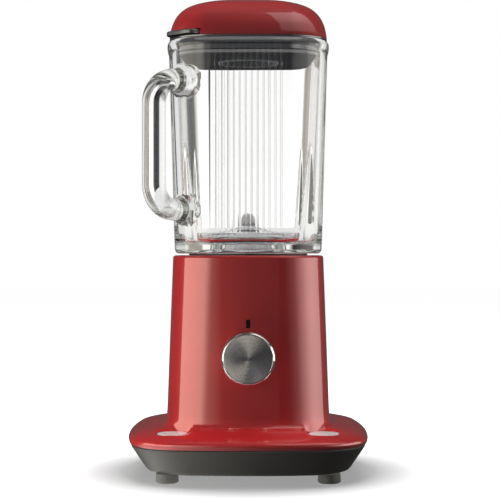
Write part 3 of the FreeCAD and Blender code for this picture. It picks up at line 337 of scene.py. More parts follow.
class Shader(Nodes):
    """A material round its Principled BSDF."""

    INPUTS = {
        "metallic": "Metallic", "roughness": "Roughness", "ior": "IOR", "coat": "Coat Weight",
        "coat_roughness": "Coat Roughness", "coat_ior": "Coat IOR",
        "transmission": "Transmission Weight", "specular": "Specular IOR Level",
        "anisotropic": "Anisotropic",
    }

    def __init__(self, name):
        self.material = bpy.data.materials.new(name)
        self.material.use_nodes = True
        super().__init__(self.material.node_tree)
        kinds = {node.type: node for node in self.tree.nodes}
        self.principled = kinds["BSDF_PRINCIPLED"]
        self.output = kinds["OUTPUT_MATERIAL"]
        self.coords = self.node("ShaderNodeTexCoord")

    def set(self, **values):
        for key, value in values.items():
            self.principled.inputs[self.INPUTS[key]].default_value = value

    def noise(self, scale, detail=3.0, stretch=None):
        """Noise in the object's frame, stretched if wanted."""
        texture = self.node("ShaderNodeTexNoise")
        texture.inputs["Scale"].default_value = scale
        texture.inputs["Detail"].default_value = detail
        texture.inputs["Roughness"].default_value = 0.55
        source = self.coords.outputs["Object"]
        if stretch:
            mapping = self.node("ShaderNodeMapping")
            mapping.inputs["Scale"].default_value = stretch
            self.link(source, mapping.inputs["Vector"])
            source = mapping.outputs["Vector"]
        self.link(source, texture.inputs["Vector"])
        return texture.outputs["Fac"]

    def mix(self, factor, first, second):
        """Mixes two colours, each a tuple or a socket. A mix node's colours are sockets 6 and 7."""
        node = self.node("ShaderNodeMix", data_type="RGBA")
        self.link(factor, node.inputs[0])
        for slot, value in ((6, first), (7, second)):
            self.feed(node.inputs[slot], (*value, 1.0) if isinstance(value, tuple) else value)
        return node.outputs[2]

    def colour(self, colour, variation, scale, wear, wear_amount):
        """Base colour with slow variation, and a wear colour on sharp convex edges."""
        darker = tuple(c * (1 - variation) for c in colour)
        lighter = tuple(min(1.0, c * (1 + variation)) for c in colour)
        varied = self.mix(self.spread(self.noise(scale), 0.0, 1.0), darker, lighter)
        geometry = self.node("ShaderNodeNewGeometry")
        edges = self.spread(geometry.outputs["Pointiness"], 0.0, wear_amount, 0.53, 0.62)
        self.link(self.mix(edges, varied, wear), self.principled.inputs["Base Color"])

    def rough(self, low, high, scale, stretch=None):
        """Roughness that wanders between two values."""
        value = self.spread(self.noise(scale, stretch=stretch), low, high)
        self.link(value, self.principled.inputs["Roughness"])

    def bump(self, height, strength, distance):
        node = self.node("ShaderNodeBump")
        node.inputs["Strength"].default_value = strength
        node.inputs["Distance"].default_value = distance
        self.link(height, node.inputs["Height"])
        self.link(node.outputs["Normal"], self.principled.inputs["Normal"])


def red_enamel(name, red):
    """Gloss red enamel: a deep red with fine metal flake under a clear coat, faint orange peel."""
    s = Shader(name)
    s.set(coat=1.0, coat_roughness=0.025, coat_ior=1.7, metallic=0.14)
    s.colour((red, 0.016, 0.020), 0.04, 9.0, (0.62, 0.05, 0.05), 0.3)
    s.rough(0.36, 0.44, 40.0)
    s.bump(s.noise(420.0, 2.0), 0.02, 0.00005)
    return s.material


def moulded(name, colour, low, high, grain=900.0, strength=0.12):
    """Moulded plastic or rubber with a fine grain."""
    s = Shader(name)
    s.colour(colour, 0.08, 14.0, tuple(min(1.0, c * 1.6 + 0.01) for c in colour), 0.5)
    s.rough(low, high, 60.0)
    s.bump(s.noise(grain, 2.0), strength, 0.0002)
    return s.material


def seal_rubber(name):
    """Dark grey silicone, glossy on its sides; its underside is made matt to keep it dark, a
    painted shade.
    """
    s = Shader(name)
    s.set(coat_ior=1.8)
    s.colour((0.042, 0.044, 0.050), 0.08, 14.0, (0.08, 0.08, 0.085), 0.3)
    s.rough(0.34, 0.44, 60.0)
    s.bump(s.noise(350.0, 2.0), 0.05, 0.0001)
    # Gloss and coat fade out on faces that point down, so the underside stays dark: a painted
    # shade.
    gloss_mask_painted_shade = s.spread(s.parts(s.coords.outputs["Normal"])["Z"], 0.0, 1.0, -0.7, -0.3)
    s.link(gloss_mask_painted_shade, s.principled.inputs["Specular IOR Level"])
    s.link(gloss_mask_painted_shade, s.principled.inputs["Coat Weight"])
    return s.material


def metal(name, colour, low, high, stretch=(1, 1, 30), grain=300.0, strength=0.06, metallic=1.0):
    """Metal with a directional grain."""
    s = Shader(name)
    s.set(metallic=metallic)
    s.colour(colour, 0.06, 25.0, (0.95, 0.95, 0.95), 0.4)
    s.rough(low, high, grain, stretch)
    s.bump(s.noise(grain, 3.0, stretch=stretch), strength, 0.0001)
    return s.material


def button_metal(name):
    """Silver paint with a fine sideways grain."""
    s = Shader(name)
    s.set(metallic=0.25, coat=0.4, coat_roughness=0.15)
    s.colour((0.86, 0.87, 0.88), 0.04, 60.0, (0.95, 0.95, 0.95), 0.4)
    s.rough(0.3, 0.42, 220.0, (30, 1, 1))
    s.bump(s.noise(220.0, 3.0, stretch=(30, 1, 1)), 0.05, 0.0001)
    return s.material


def spun_metal(name):
    """A turned face: circular grain about the knob's axis, its glint in wedges from the centre."""
    s = Shader(name)
    s.set(metallic=1.0, anisotropic=0.85)
    s.colour((0.37, 0.365, 0.39), 0.06, 30.0, (0.9, 0.9, 0.9), 0.3)
    tangent = s.node("ShaderNodeTangent", direction_type="RADIAL", axis="Y")
    s.link(tangent.outputs["Tangent"], s.principled.inputs["Tangent"])
    low, high = box_mm("knob_disc")
    centre = (low + high) / 2 * MM
    from_centre = s.calculate("VectorMath", "SUBTRACT", s.coords.outputs["Object"], centre)
    in_face = s.calculate("VectorMath", "MULTIPLY", from_centre, (1, 0, 1))
    grooves = s.node("ShaderNodeTexNoise", noise_dimensions="1D")
    grooves.inputs["Scale"].default_value = 2500.0
    grooves.inputs["Detail"].default_value = 2.0
    s.link(s.calculate("VectorMath", "LENGTH", in_face), grooves.inputs["W"])
    s.link(s.spread(grooves.outputs["Fac"], 0.22, 0.36), s.principled.inputs["Roughness"])
    s.bump(grooves.outputs["Fac"], 0.07, 0.0001)
    return s.material


def glass(name, tint, density, wavy=True):
    """Pressed glass: clear surface, slight waviness, and a colour that deepens with thickness."""
    s = Shader(name)
    s.set(transmission=1.0, ior=1.5, roughness=0.0)
    s.principled.inputs["Base Color"].default_value = (1.0, 1.0, 1.0, 1.0)
    if wavy:
        s.link(s.spread(s.noise(30.0), 0.0, 0.012), s.principled.inputs["Roughness"])
        s.bump(s.noise(55.0, 2.0), 0.06, 0.0004)
    absorption = s.node("ShaderNodeVolumeAbsorption")
    absorption.inputs["Color"].default_value = (*tint, 1.0)
    absorption.inputs["Density"].default_value = density
    s.link(absorption.outputs["Volume"], s.output.inputs["Volume"])
    return s.material


def wound(name, colour):
    """Enamelled copper: wire turns as fine ridges."""
    s = Shader(name)
    s.set(metallic=1.0)
    s.colour(colour, 0.12, 60.0, (0.95, 0.6, 0.4), 0.3)
    s.rough(0.25, 0.4, 80.0)
    wave = s.node("ShaderNodeTexWave")
    wave.inputs["Scale"].default_value = 180.0
    wave.inputs["Distortion"].default_value = 1.0
    s.link(s.coords.outputs["Object"], wave.inputs["Vector"])
    s.bump(wave.outputs["Fac"], 0.5, 0.0004)
    return s.material


def build_materials():
    """Each material by its slot's name."""
    pale = (0.85, 0.85, 0.85)
    return {
        "red_enamel": red_enamel("red_enamel", 0.60),
        # The lid is the same enamel with a darker red, which stands in for less light on the lid: a
        # painted shade.
        "red_lid": red_enamel("red_lid", 0.46),
        "taupe_plastic": moulded("taupe_plastic", (0.105, 0.10, 0.088), 0.34, 0.46, 700.0, 0.10),
        "foot_rubber": moulded("foot_rubber", (0.15, 0.145, 0.135), 0.6, 0.8, 500.0, 0.2),
        "dark_plastic": moulded("dark_plastic", (0.035, 0.037, 0.04), 0.35, 0.5),
        "seal_rubber": seal_rubber("seal_rubber"),
        "carbon": moulded("carbon", (0.02, 0.02, 0.02), 0.5, 0.7, 1200.0, 0.3),
        "board_green": moulded("board_green", (0.02, 0.14, 0.05), 0.3, 0.45, 400.0, 0.1),
        "capacitor_case": moulded("capacitor_case", (0.7, 0.45, 0.05), 0.25, 0.35),
        "lamp_lens": moulded("lamp_lens", (0.008, 0.008, 0.009), 0.08, 0.14, 300.0, 0.02),
        "lamp_diode": moulded("lamp_diode", (0.7, 0.72, 0.75), 0.1, 0.2, 300.0, 0.02),
        "bright_steel": metal("bright_steel", pale, 0.2, 0.32, metallic=0.4),
        "spring_steel": metal("spring_steel", (0.5, 0.5, 0.5), 0.25, 0.35),
        "blade_steel": metal("blade_steel", pale, 0.2, 0.32, (1, 20, 1), metallic=0.45),
        "lamination_steel": metal(
            "lamination_steel", (0.3, 0.31, 0.33), 0.35, 0.5, (1, 1, 60), 200.0, 0.4,
        ),
        "cast_aluminium": metal(
            "cast_aluminium", (0.6, 0.61, 0.62), 0.4, 0.55, (1, 1, 1), 500.0, 0.3,
        ),
        "brass": metal("brass", (0.72, 0.52, 0.22), 0.22, 0.34),
        "knob_metal": metal("knob_metal", (0.82, 0.82, 0.83), 0.08, 0.14, (1, 1, 1), 120.0, 0.01),
        "spun_metal": spun_metal("spun_metal"),
        "button_metal": button_metal("button_metal"),
        "copper_wire": wound("copper_wire", (0.72, 0.3, 0.13)),
        "jug_glass": glass("jug_glass", (0.80, 0.82, 0.76), 7.0),
        "clear_plastic": glass("clear_plastic", (0.9, 0.92, 0.93), 6.0, False),
    }


MATERIALS = build_materials()
NODE_SLOTS = {entry["node"]: entry["material_slot"] for entry in frame["record"]["subparts"]}


def finish_piece(obj, slot, body, *nodes):
    """Gives a new piece its material, slot and body, and hides the CAD nodes it stands for."""
    obj.data.materials.clear()
    obj.data.materials.append(MATERIALS[slot])
    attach(obj, body)
    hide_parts(*nodes)


def dress_cad_nodes():
    """Gives each CAD node the material of its slot."""
    for node, obj in NODES.items():
        material = MATERIALS[NODE_SLOTS[node]]
        if not obj.data.materials:
            obj.data.materials.append(material)
        for slot in obj.material_slots:
            slot.material = material


# ---------------------------------------------------------------- power unit

# Sizes in mm: the bow of the sides, the column's half width, and the flat land round each button.
PLINTH_SIDE = 450.0
COLUMN_SIDE = 380.0
COLUMN_FOOT = 69.7
COLUMN_TOP = 64.9
FLARE_TOP = 58.0
COLUMN_RISE = 126.8
LAND_LOW, LAND_HIGH = 38.5, 48.0
LAND_REACH, LAND_BLEND = 17.5, 3.5
BUTTON_X, BUTTON_Y, _ = middle_mm("pulse_button")
BUTTON_LOW, BUTTON_HIGH = box_mm("pulse_button")
BUTTON_RADIUS = (BUTTON_HIGH.x - BUTTON_LOW.x) / 2
BUTTON_RISE = 0.5


def flat_lands(points):
    """Raises or lowers the plinth's skin round each button to a flat land."""
    land = (BUTTON_HIGH.z - BUTTON_RISE) * MM
    for p in points:
        if LAND_LOW * MM < p.z < LAND_HIGH * MM:
            away = math.hypot(abs(p.x) - BUTTON_X * MM, p.y - BUTTON_Y * MM)
            blend = min(1.0, max(0.0, (LAND_REACH * MM - away) / (LAND_BLEND * MM)))
            p.z += (land - p.z) * blend * blend * (3 - 2 * blend)
    return points


def body_rings():
    """The red shell's rings: hem, plinth, flare, column, deck, seat opening and back down inside.

    Each row is half width, height, corner radius and side radius.
    """
    wide, _, high = box_mm("body_shell")[1]
    hem = [
        (wide - 4.6, 36.5, 42.5, PLINTH_SIDE), (wide - 4.6, 32.2, 42.5, PLINTH_SIDE),
        (wide - 3.8, 30.9, 43.0, PLINTH_SIDE), (wide - 2.4, 30.5, 44.0, PLINTH_SIDE),
    ]
    plinth = [
        (wide - 1.5, 30.6, 45.0, PLINTH_SIDE), (wide - 0.4, 31.9, 46.0, PLINTH_SIDE),
        (wide, 33.6, 46.0, PLINTH_SIDE), (wide - 0.6, 35.4, 46.0, PLINTH_SIDE),
        (wide - 2.3, 37.1, 46.0, PLINTH_SIDE), (wide - 5.4, 38.8, 45.6, PLINTH_SIDE),
        (wide - 9.8, 40.2, 45.0, PLINTH_SIDE), (wide - 15.0, 41.5, 44.0, PLINTH_SIDE),
        (wide - 19.8, 42.4, 43.0, PLINTH_SIDE), (wide - 23.0, 43.1, 42.0, PLINTH_SIDE),
    ]
    flare = [
        (COLUMN_FOOT + 4.6, 43.9, 40.0, COLUMN_SIDE), (COLUMN_FOOT + 3.1, 44.8, 39.2, COLUMN_SIDE),
        (COLUMN_FOOT + 1.7, 46.8, 38.4, COLUMN_SIDE), (COLUMN_FOOT + 0.6, 50.5, 37.4, COLUMN_SIDE),
        (COLUMN_FOOT, FLARE_TOP, 37.0, COLUMN_SIDE),
    ]
    column = [
        (COLUMN_FOOT + (COLUMN_TOP - COLUMN_FOOT) * t, FLARE_TOP + COLUMN_RISE * t, 37.0,
         COLUMN_SIDE)
        for t in (0.15, 0.3, 0.45, 0.6, 0.75, 0.9, 1.0)
    ]
    edge = [
        (COLUMN_TOP - 0.15, high - 1.3, 37.0, COLUMN_SIDE),
        (COLUMN_TOP - 0.7, high - 0.5, 36.8, COLUMN_SIDE),
        (COLUMN_TOP - 1.8, high - 0.05, 36.4, COLUMN_SIDE),
        (COLUMN_TOP - 3.2, high, 36.0, COLUMN_SIDE),
    ]
    rows = hem[:-1] + smooth_profile([hem[-1]] + plinth + flare + column + edge, 1.6)
    rings = [flat_lands(at_height(soft_square(*row[:1], *row[2:]), row[1])) for row in rows]
    deck = soft_square(COLUMN_TOP - 3.2, 36.0, COLUMN_SIDE)
    opening = circle_like(deck, 49.0)
    for t in (0.25, 0.5, 0.75, 0.97):
        rings.append(at_height([p.lerp(q, t) for p, q in zip(deck, opening)], high))
    rings.append(at_height(opening, high - 0.3))
    rings.append(at_height(circle_like(deck, 48.9), high - 3.0))
    inside = [
        (COLUMN_TOP - 3.0, high - 3.0, 34.0, COLUMN_SIDE),
        (COLUMN_FOOT - 3.0, 60.0, 34.0, COLUMN_SIDE), (COLUMN_FOOT - 1.6, 40.2, 35.0, COLUMN_SIDE),
        (80.0, 39.4, 40.0, PLINTH_SIDE), (wide - 7.0, 37.0, 42.0, PLINTH_SIDE),
    ]
    return rings + [at_height(soft_square(a, c, s), z) for a, z, c, s in inside]


def make_body_shell():
    """The enamelled casting, with holes for the buttons, the lamp, the knob and the safety pin."""
    shell = ringed("body_shell_skin", body_rings(), closed=True)
    tools = [
        rod("button_hole", BUTTON_RADIUS + 0.35, 33.0, 60.0, side * BUTTON_X, BUTTON_Y)
        for side in (-1, 1)
    ]
    slot = box_cutter("lamp_hole", (-1.75, -3.75, 0), (1.75, 3.75, 24), 1.5)
    slot.data.transform(forward(middle_mm("lamp_lens")[2], 55.0))
    spindle = forward(middle_mm("speed_knob")[2], 56.0)
    hole = lathe("spindle_hole", [(0, 0), (5.3, 0), (5.3, 24), (0, 24)], 48, spindle)
    pin_hole = rod("pin_hole", 2.7, 180.0, 192.0, 0.0, middle_mm("interlock_pin")[1], 32)
    carve(shell, tools + [slot, hole, pin_hole])
    sharp_above(shell, 40)
    finish_piece(shell, "red_enamel", "power_unit", "body_shell")


def make_controls():
    """The knob's rim and spun face, and the two push buttons."""
    low, high = box_mm("speed_knob")
    place = forward(middle_mm("speed_knob")[2], -high.y)
    depth = high.y - low.y
    radius = (high.x - low.x) / 2
    rim = lathe("knob_rim", [
        (radius - 2.2, 0.0), (radius - 0.5, 0.0), (radius - 0.1, 0.2), (radius, 0.6),
        (radius, depth - 1.9), (radius - 0.1, depth - 1.5), (radius - 1.3, depth - 0.1),
        (radius - 1.5, depth), (radius - 1.9, depth), (radius - 2.0, depth - 0.1),
        (radius - 2.0, depth - 1.0), (0, depth - 1.0), (0, depth - 3.2),
        (radius - 2.2, depth - 3.2), (radius - 2.2, 0.0),
    ], 160, place)
    sharp_above(rim, 35)
    finish_piece(rim, "knob_metal", "knob", "speed_knob")

    face = lathe("knob_face", [
        (0, depth - 1.0), (radius - 2.1, depth - 1.0), (radius - 2.1, depth - 0.5),
        (radius - 2.3, depth - 0.3), (radius - 2.6, depth - 0.25), (0, depth - 0.25),
    ], 160, place)
    sharp_above(face, 35)
    finish_piece(face, "spun_metal", "knob", "knob_disc")

    for node in ("ice_button", "pulse_button"):
        low, high = box_mm(node)
        x, y, _ = middle_mm(node)
        top, r = high.z, (high.x - low.x) / 2
        disc = lathe(f"{node}_cap", [
            (0, low.z), (2.2, low.z), (2.4, low.z + 0.3), (2.4, top - 3.0), (r - 3.0, top - 3.0),
            (r - 3.0, top - 5.4), (r - 0.2, top - 5.4), (r, top - 5.2), (r, top - 0.5),
            (r - 0.15, top - 0.15), (r - 0.5, top), (r - 1.2, top - 0.02), (r * 0.5, top - 0.22),
            (0, top - 0.3),
        ], 96, Matrix.Translation((x * MM, y * MM, 0)))
        sharp_above(disc, 50)
        finish_piece(disc, "button_metal", node.split("_")[0], node)


def make_button_spring(node, joint):
    """The coil under a button, drawn at rest; the script doesn't shorten it when the button is
    pressed.
    """
    turns, steps = 4, 24
    wire, travel = 0.8, 2.0
    low, high = box_mm(node)
    x, y, _ = middle_mm(node)
    mean = (high.x - low.x) / 2 - wire / 2
    rise = high.z - low.z - wire
    rings = []
    for i in range(steps * turns + 1):
        angle = 2 * math.pi * i / steps
        centre = Vector((x, y, low.z + wire / 2 + rise * i / (steps * turns)))
        outward = Vector((math.cos(angle), math.sin(angle), 0))
        rings.append([
            (centre + outward * (mean + wire / 2 * math.cos(a))
             + Vector((0, 0, wire / 2 * math.sin(a)))) * MM
            for a in angles(10)
        ])
    coil = ringed(f"{joint}_coil", rings, cap_start=True, cap_end=True)
    finish_piece(coil, "spring_steel", "power_unit", node)
    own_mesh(coil)


# ---------------------------------------------------------------- lid

# Sizes in mm. The handle and the lid's pull tab are at the front left corner.
LID_SIDE = 450.0
JUG_SIDE = 520.0
JUG_FOOT, JUG_FLOOR, JUG_RIM = 188.6, 197.0, 368.6
TO_FRONT_LEFT = Matrix.Rotation(math.radians(-135), 4, "Z")


def make_lid():
    """The red dome and the dark filler tube below it."""
    half = box_mm("lid_cover")[1].x
    skirt = JUG_RIM + 1.0
    crown = box_mm("filler_gasket")[0].z + 3.98
    profile = [
        (half - 0.5, skirt), (half, skirt + 0.5), (half - 0.1, skirt + 2.6),
        (half - 0.5, skirt + 5.4), (half - 2.0, skirt + 11.6), (half - 5.6, skirt + 19.2),
        (half - 11.4, skirt + 25.6), (half - 19.2, skirt + 30.0), (half - 28.4, skirt + 33.0),
        (half - 34.0, crown - 0.9), (half - 37.0, crown - 0.6),
    ]
    rows = [(a, z, 34.0 * (a / half) ** 0.7, LID_SIDE * a / half) for a, z in profile]
    rings = [at_height(soft_square(a, c, s), z) for a, z, c, s in smooth_profile(rows, 1.6)]
    base = soft_square(half, 34.0, LID_SIDE)
    turned = [(27.9, crown - 0.5), (27.6, crown - 0.3), (27.6, crown - 4.0), (24.0, crown - 4.0)]
    stub = [(24.0, crown - 9.0), (26.3, crown - 9.0), (26.3, crown - 6.2)]
    rings += [at_height(circle_like(base, r), z) for r, z in turned + stub]
    inner = [(a - 2.6, z - 2.6, max(c - 1.5, 8.0), s) for a, z, c, s in rows[::-1][1:-2]]
    rings += [at_height(soft_square(a, c, s), z) for a, z, c, s in smooth_profile(inner, 4.0)]
    rings.append(at_height(soft_square(half - 2.6, 32.7, LID_SIDE), skirt))
    cover = ringed("lid_dome", rings, closed=True)
    slot = box_cutter("tab_slot", (60.0, -18.4, skirt - 2.0), (100.0, 18.4, skirt + 5.2))
    slot.data.transform(TO_FRONT_LEFT)
    carve(cover, [slot])
    sharp_above(cover, 40)
    finish_piece(cover, "red_lid", "lid", "lid_cover")
    tube = lathe("filler_tube", [
        (24.0, crown - 9.0), (26.3, crown - 9.0), (26.3, crown - 51.5), (26.0, crown - 51.9),
        (24.4, crown - 51.9), (24.0, crown - 51.5), (24.0, crown - 9.0),
    ], 96)
    sharp_above(tube, 40)
    finish_piece(tube, "dark_plastic", "lid", "lid_cover")


# ---------------------------------------------------------------- jug

# A ring of the jug has so many points on each side and corner. Flutes: their number, half the width
# they take up, their depth, the plain share and the cusp's share of half a flute, and the height of
# a cusp at the front and the back as shares of the depth.
JUG_POINTS = (104, 48)
JUG_FLUTES = 13
FLUTE_SPAN = 32.3
FLUTE_DEPTH = 0.8
FLUTE_PLAIN, FLUTE_CUSP = 0.6, 0.4
FRONT_CUSP, BACK_CUSP = 0.42, 0.3

# The corner ribs: how far they start under the floor and end below the rim, then the place of their
# axis and their radius at the foot, and how much these change up to the end.
RIB_SINK, RIB_END = 2.0, 70.0
RIB_AXIS, RIB_LEAN = 48.6, 3.8
RIB_RADIUS, RIB_TAPER = 8.2, 7.6

# The handle: the grip's reach, the heights of its two arms, the radius of its bends and the half
# sizes of its oval. At its roots it flares out to the corner of the jug.
HANDLE_REACH, HANDLE_HIGH, HANDLE_LOW, HANDLE_BEND = 109.0, 332.5, 225.0, 21.0
HANDLE_ACROSS, HANDLE_THROUGH = 10.9, 8.9
HANDLE_MIDDLE = 280.0
UPPER_CORNER, LOWER_CORNER = 78.6, 74.8
ROOT_FLARE, FLARE_FADE = 5.4, 3.2


def jug_outside():
    """Rows of half width, height, corner radius and side radius up the jug's outer wall."""
    foot, rim = JUG_FOOT, JUG_RIM
    rows = [
        (54.6, foot + 0.1, 28.0), (59.6, foot, 31.0), (61.2, foot + 0.4, 32.0),
        (62.5, foot + 1.5, 33.0), (63.1, foot + 3.4, 33.5), (63.4, foot + 8.0, 33.6),
        (64.7, foot + 50.0, 34.0), (66.4, foot + 110.0, 34.6), (68.1, rim - 13.0, 35.0),
        (68.5, rim - 9.6, 35.2), (69.2, rim - 7.4, 35.6), (69.5, rim - 5.6, 35.8),
        (69.3, rim - 3.6, 35.6), (68.4, rim - 1.6, 35.0), (67.2, rim - 0.4, 34.2),
        (65.6, rim, 33.0),
    ]
    return [(a, z, c, JUG_SIDE) for a, z, c in rows]


def fluted(points, depth):
    """Flutes the front and back of a ring: narrow cusps stand out towards the jug's middle."""
    flat, around = JUG_POINTS[0], sum(JUG_POINTS)
    result = []
    for k, p in enumerate(points):
        quarter, i = divmod(k, around)
        if quarter % 2 and i < flat:
            x = p.x * FLUTE_SPAN / abs(points[quarter * around].x)
            phase = i * JUG_FLUTES / flat % 1.0
            ridge = max(0.0, (abs(2 * phase - 1) - FLUTE_PLAIN) / FLUTE_CUSP) ** 2
            height = depth * (FRONT_CUSP if p.y < 0 else BACK_CUSP) * ridge
            y = abs(p.y) + (p.x**2 - x**2) / (2 * JUG_SIDE) - height
            p = Vector((x, math.copysign(y, p.y)))
        result.append(p)
    return result


def ribbed(points, z):
    """Raises the four tapered ribs in the inner corners of a ring at a height."""
    t = (z - (JUG_FLOOR - RIB_SINK)) / (JUG_RIM - RIB_END - JUG_FLOOR + RIB_SINK)
    if t >= 1.0:
        return points
    axis = math.sqrt(2) * (RIB_AXIS + RIB_LEAN * t)
    radius = RIB_RADIUS - RIB_TAPER * t
    result = []
    for p in points:
        along = (abs(p.x) + abs(p.y)) / math.sqrt(2)
        across = (abs(p.x) - abs(p.y)) / math.sqrt(2)
        if abs(across) < radius:
            crest = axis - math.sqrt(radius**2 - across**2)
            if crest < along:
                x, y = (crest + across) / math.sqrt(2), (crest - across) / math.sqrt(2)
                p = Vector((math.copysign(x, p.x), math.copysign(y, p.y)))
        result.append(p)
    return result


def make_jug():
    """The glass body: outer wall, rim, fluted and ribbed inner wall, neck and handle."""
    rings = [
        at_height(soft_square(a, c, s, *JUG_POINTS), z)
        for a, z, c, s in smooth_profile(jug_outside(), 3.0)
    ]
    floor, rim = JUG_FLOOR, JUG_RIM
    inside = [
        (63.9, rim - 0.2, 30.2), (63.3, rim - 1.2, 30.0), (63.1, rim - 5.0, 29.4),
        (62.7, rim - 14.0, 29.0), (61.4, rim - 40.0, 28.2), (59.0, rim - 95.0, 26.6),
        (56.6, floor + 22.0, 24.6), (55.7, floor + 9.0, 24.0), (54.9, floor + 5.6, 23.8),
        (52.7, floor + 2.4, 23.4), (49.0, floor + 0.6, 22.8), (44.0, floor, 22.0),
    ]
    for a, z, c in smooth_profile(inside, 3.0):
        ring = soft_square(a, c, JUG_SIDE, *JUG_POINTS)
        below_rim = min(1.0, max(0.0, (rim - 6.0 - z) / 2.0))
        above_floor = min(1.0, max(0.0, (z - floor - 0.4) / 3.0))
        depth = FLUTE_DEPTH * (below_rim * above_floor)
        rings.append(at_height(ribbed(fluted(ring, depth), z), z))
    circle = soft_square(50.0, 24.0, JUG_SIDE, *JUG_POINTS)
    neck = [
        (31.6, floor), (31.0, floor - 0.6), (31.0, 173.6), (37.2, 173.6), (37.5, 174.0),
        (37.5, 188.7),
    ]
    rings += [at_height(circle_like(circle, r), z) for r, z in neck]
    jug = ringed("jug_glass_body", rings, closed=True)
    carve(jug, [make_handle()], "UNION")
    sharp_above(jug, 50)
    finish_piece(jug, "jug_glass", "jug", "glass_jug")


def handle_path():
    """Centre line points (radius, height) of the handle, from its upper root to its lower one."""
    reach, high, low, bend = HANDLE_REACH, HANDLE_HIGH, HANDLE_LOW, HANDLE_BEND
    points = [(r, high) for r in range(70, 88, 2)]
    for i in range(13):
        a = math.pi / 2 * (1 - i / 12)
        points.append((reach - bend + bend * math.cos(a), high - bend + bend * math.sin(a)))
    for i in range(1, 12):
        points.append((reach, high - bend - (high - low - 2 * bend) * i / 12))
    for i in range(13):
        a = -math.pi / 2 * i / 12
        points.append((reach - bend + bend * math.cos(a), low + bend + bend * math.sin(a)))
    return points + [(r, low) for r in range(86, 66, -2)]


def make_handle():
    """The bar: oval in the grip, with a flared ring at each root."""
    path = handle_path()
    rings = []
    for i, (r, z) in enumerate(path):
        r0, z0 = path[max(i - 1, 0)]
        r1, z1 = path[min(i + 1, len(path) - 1)]
        along = Vector((r1 - r0, 0, z1 - z0)).normalized()
        out = Vector((-along.z, 0, along.x))
        from_wall = r - (UPPER_CORNER if z > HANDLE_MIDDLE else LOWER_CORNER)
        flare = ROOT_FLARE * math.exp(-max(0.0, from_wall) / FLARE_FADE)
        across, through = HANDLE_ACROSS + flare, HANDLE_THROUGH + flare
        centre = Vector((r, 0, z))
        rings.append([
            (centre + out * through * math.sin(a) + Vector((0, across * math.cos(a), 0))) * MM
            for a in angles(48)
        ])
    bar = ringed("handle_bar", rings, cap_start=True, cap_end=True)
    bar.data.transform(TO_FRONT_LEFT)
    return bar


# ---------------------------------------------------------------- stage, light and camera

PANEL_RADIUS = 0.8
FLOOR_REACH = 6.0

# The thick fluted glass goes black at its edges with fewer.
LIGHT_BOUNCES = 24

# The photograph's view: level, straight at the front, with a long lens. The lens's sizes are in mm
# and its shift is a share of the picture's width.
SENSOR_WIDTH = 36.0
FOCAL_LENGTH = 103.32
LENS_SHIFT = 0.0036
CAMERA_PLACE = (0.0, -1.25, 0.1916)


def emission(name, strength, tint, across, upward):
    """A light panel's material, its brightness across and upward from (place, brightness) stops."""
    material = bpy.data.materials.new(name)
    material.use_nodes = True
    n = Nodes(material.node_tree)
    n.tree.nodes.clear()
    place = n.parts(n.node("ShaderNodeTexCoord").outputs["UV"])
    shade = n.calculate(
        "VectorMath", "MULTIPLY", n.ramp(place["X"], across), n.ramp(place["Y"], upward),
    )
    light = n.node("ShaderNodeEmission")
    light.inputs["Strength"].default_value = strength
    n.link(n.calculate("VectorMath", "MULTIPLY", shade, tint), light.inputs["Color"])
    n.link(light.outputs["Emission"], n.node("ShaderNodeOutputMaterial").inputs["Surface"])
    return material


def panel(name, azimuths, heights, strength, tint, across, upward):
    """An upright light panel curved about the blender's axis, which only glossy surfaces see.

    It runs between two azimuths in degrees (0 is the front, + is right) and two heights in m.
    """
    columns, rows = 24, 12
    start, end = azimuths
    low, high = heights
    vertices, faces = [], []
    for i in range(columns + 1):
        a = math.radians(start + (end - start) * i / columns)
        x, y = PANEL_RADIUS * math.sin(a), -PANEL_RADIUS * math.cos(a)
        vertices += [(x, y, low + (high - low) * k / rows) for k in range(rows + 1)]
    for i in range(columns):
        for k in range(rows):
            a = i * (rows + 1) + k
            faces.append((a, a + rows + 1, a + rows + 2, a + 1))
    mesh = bpy.data.meshes.new(name)
    mesh.from_pydata(vertices, [], faces)
    uv = mesh.uv_layers.new(name="UVMap")
    for loop in mesh.loops:
        column, row = divmod(loop.vertex_index, rows + 1)
        uv.data[loop.index].uv = (column / columns, row / rows)
    mesh.materials.append(emission(name, strength, tint, across, upward))
    obj = bpy.data.objects.new(name, mesh)
    bpy.context.scene.collection.objects.link(obj)
    obj.visible_camera = False
    obj.visible_transmission = False
    obj.visible_diffuse = False
    obj.visible_shadow = False


def area_light(name, place, target, size, power):
    """A square lamp that lights surfaces but isn't seen in them."""
    light = bpy.data.lights.new(name, "AREA")
    light.shape = "RECTANGLE"
    light.size = light.size_y = size
    light.energy = power
    obj = bpy.data.objects.new(name, light)
    obj.location = place
    obj.rotation_euler = (Vector(target) - Vector(place)).to_track_quat("-Z", "Y").to_euler()
    obj.visible_glossy = False
    obj.visible_camera = False
    obj.visible_transmission = False
    bpy.context.scene.collection.objects.link(obj)
    return light


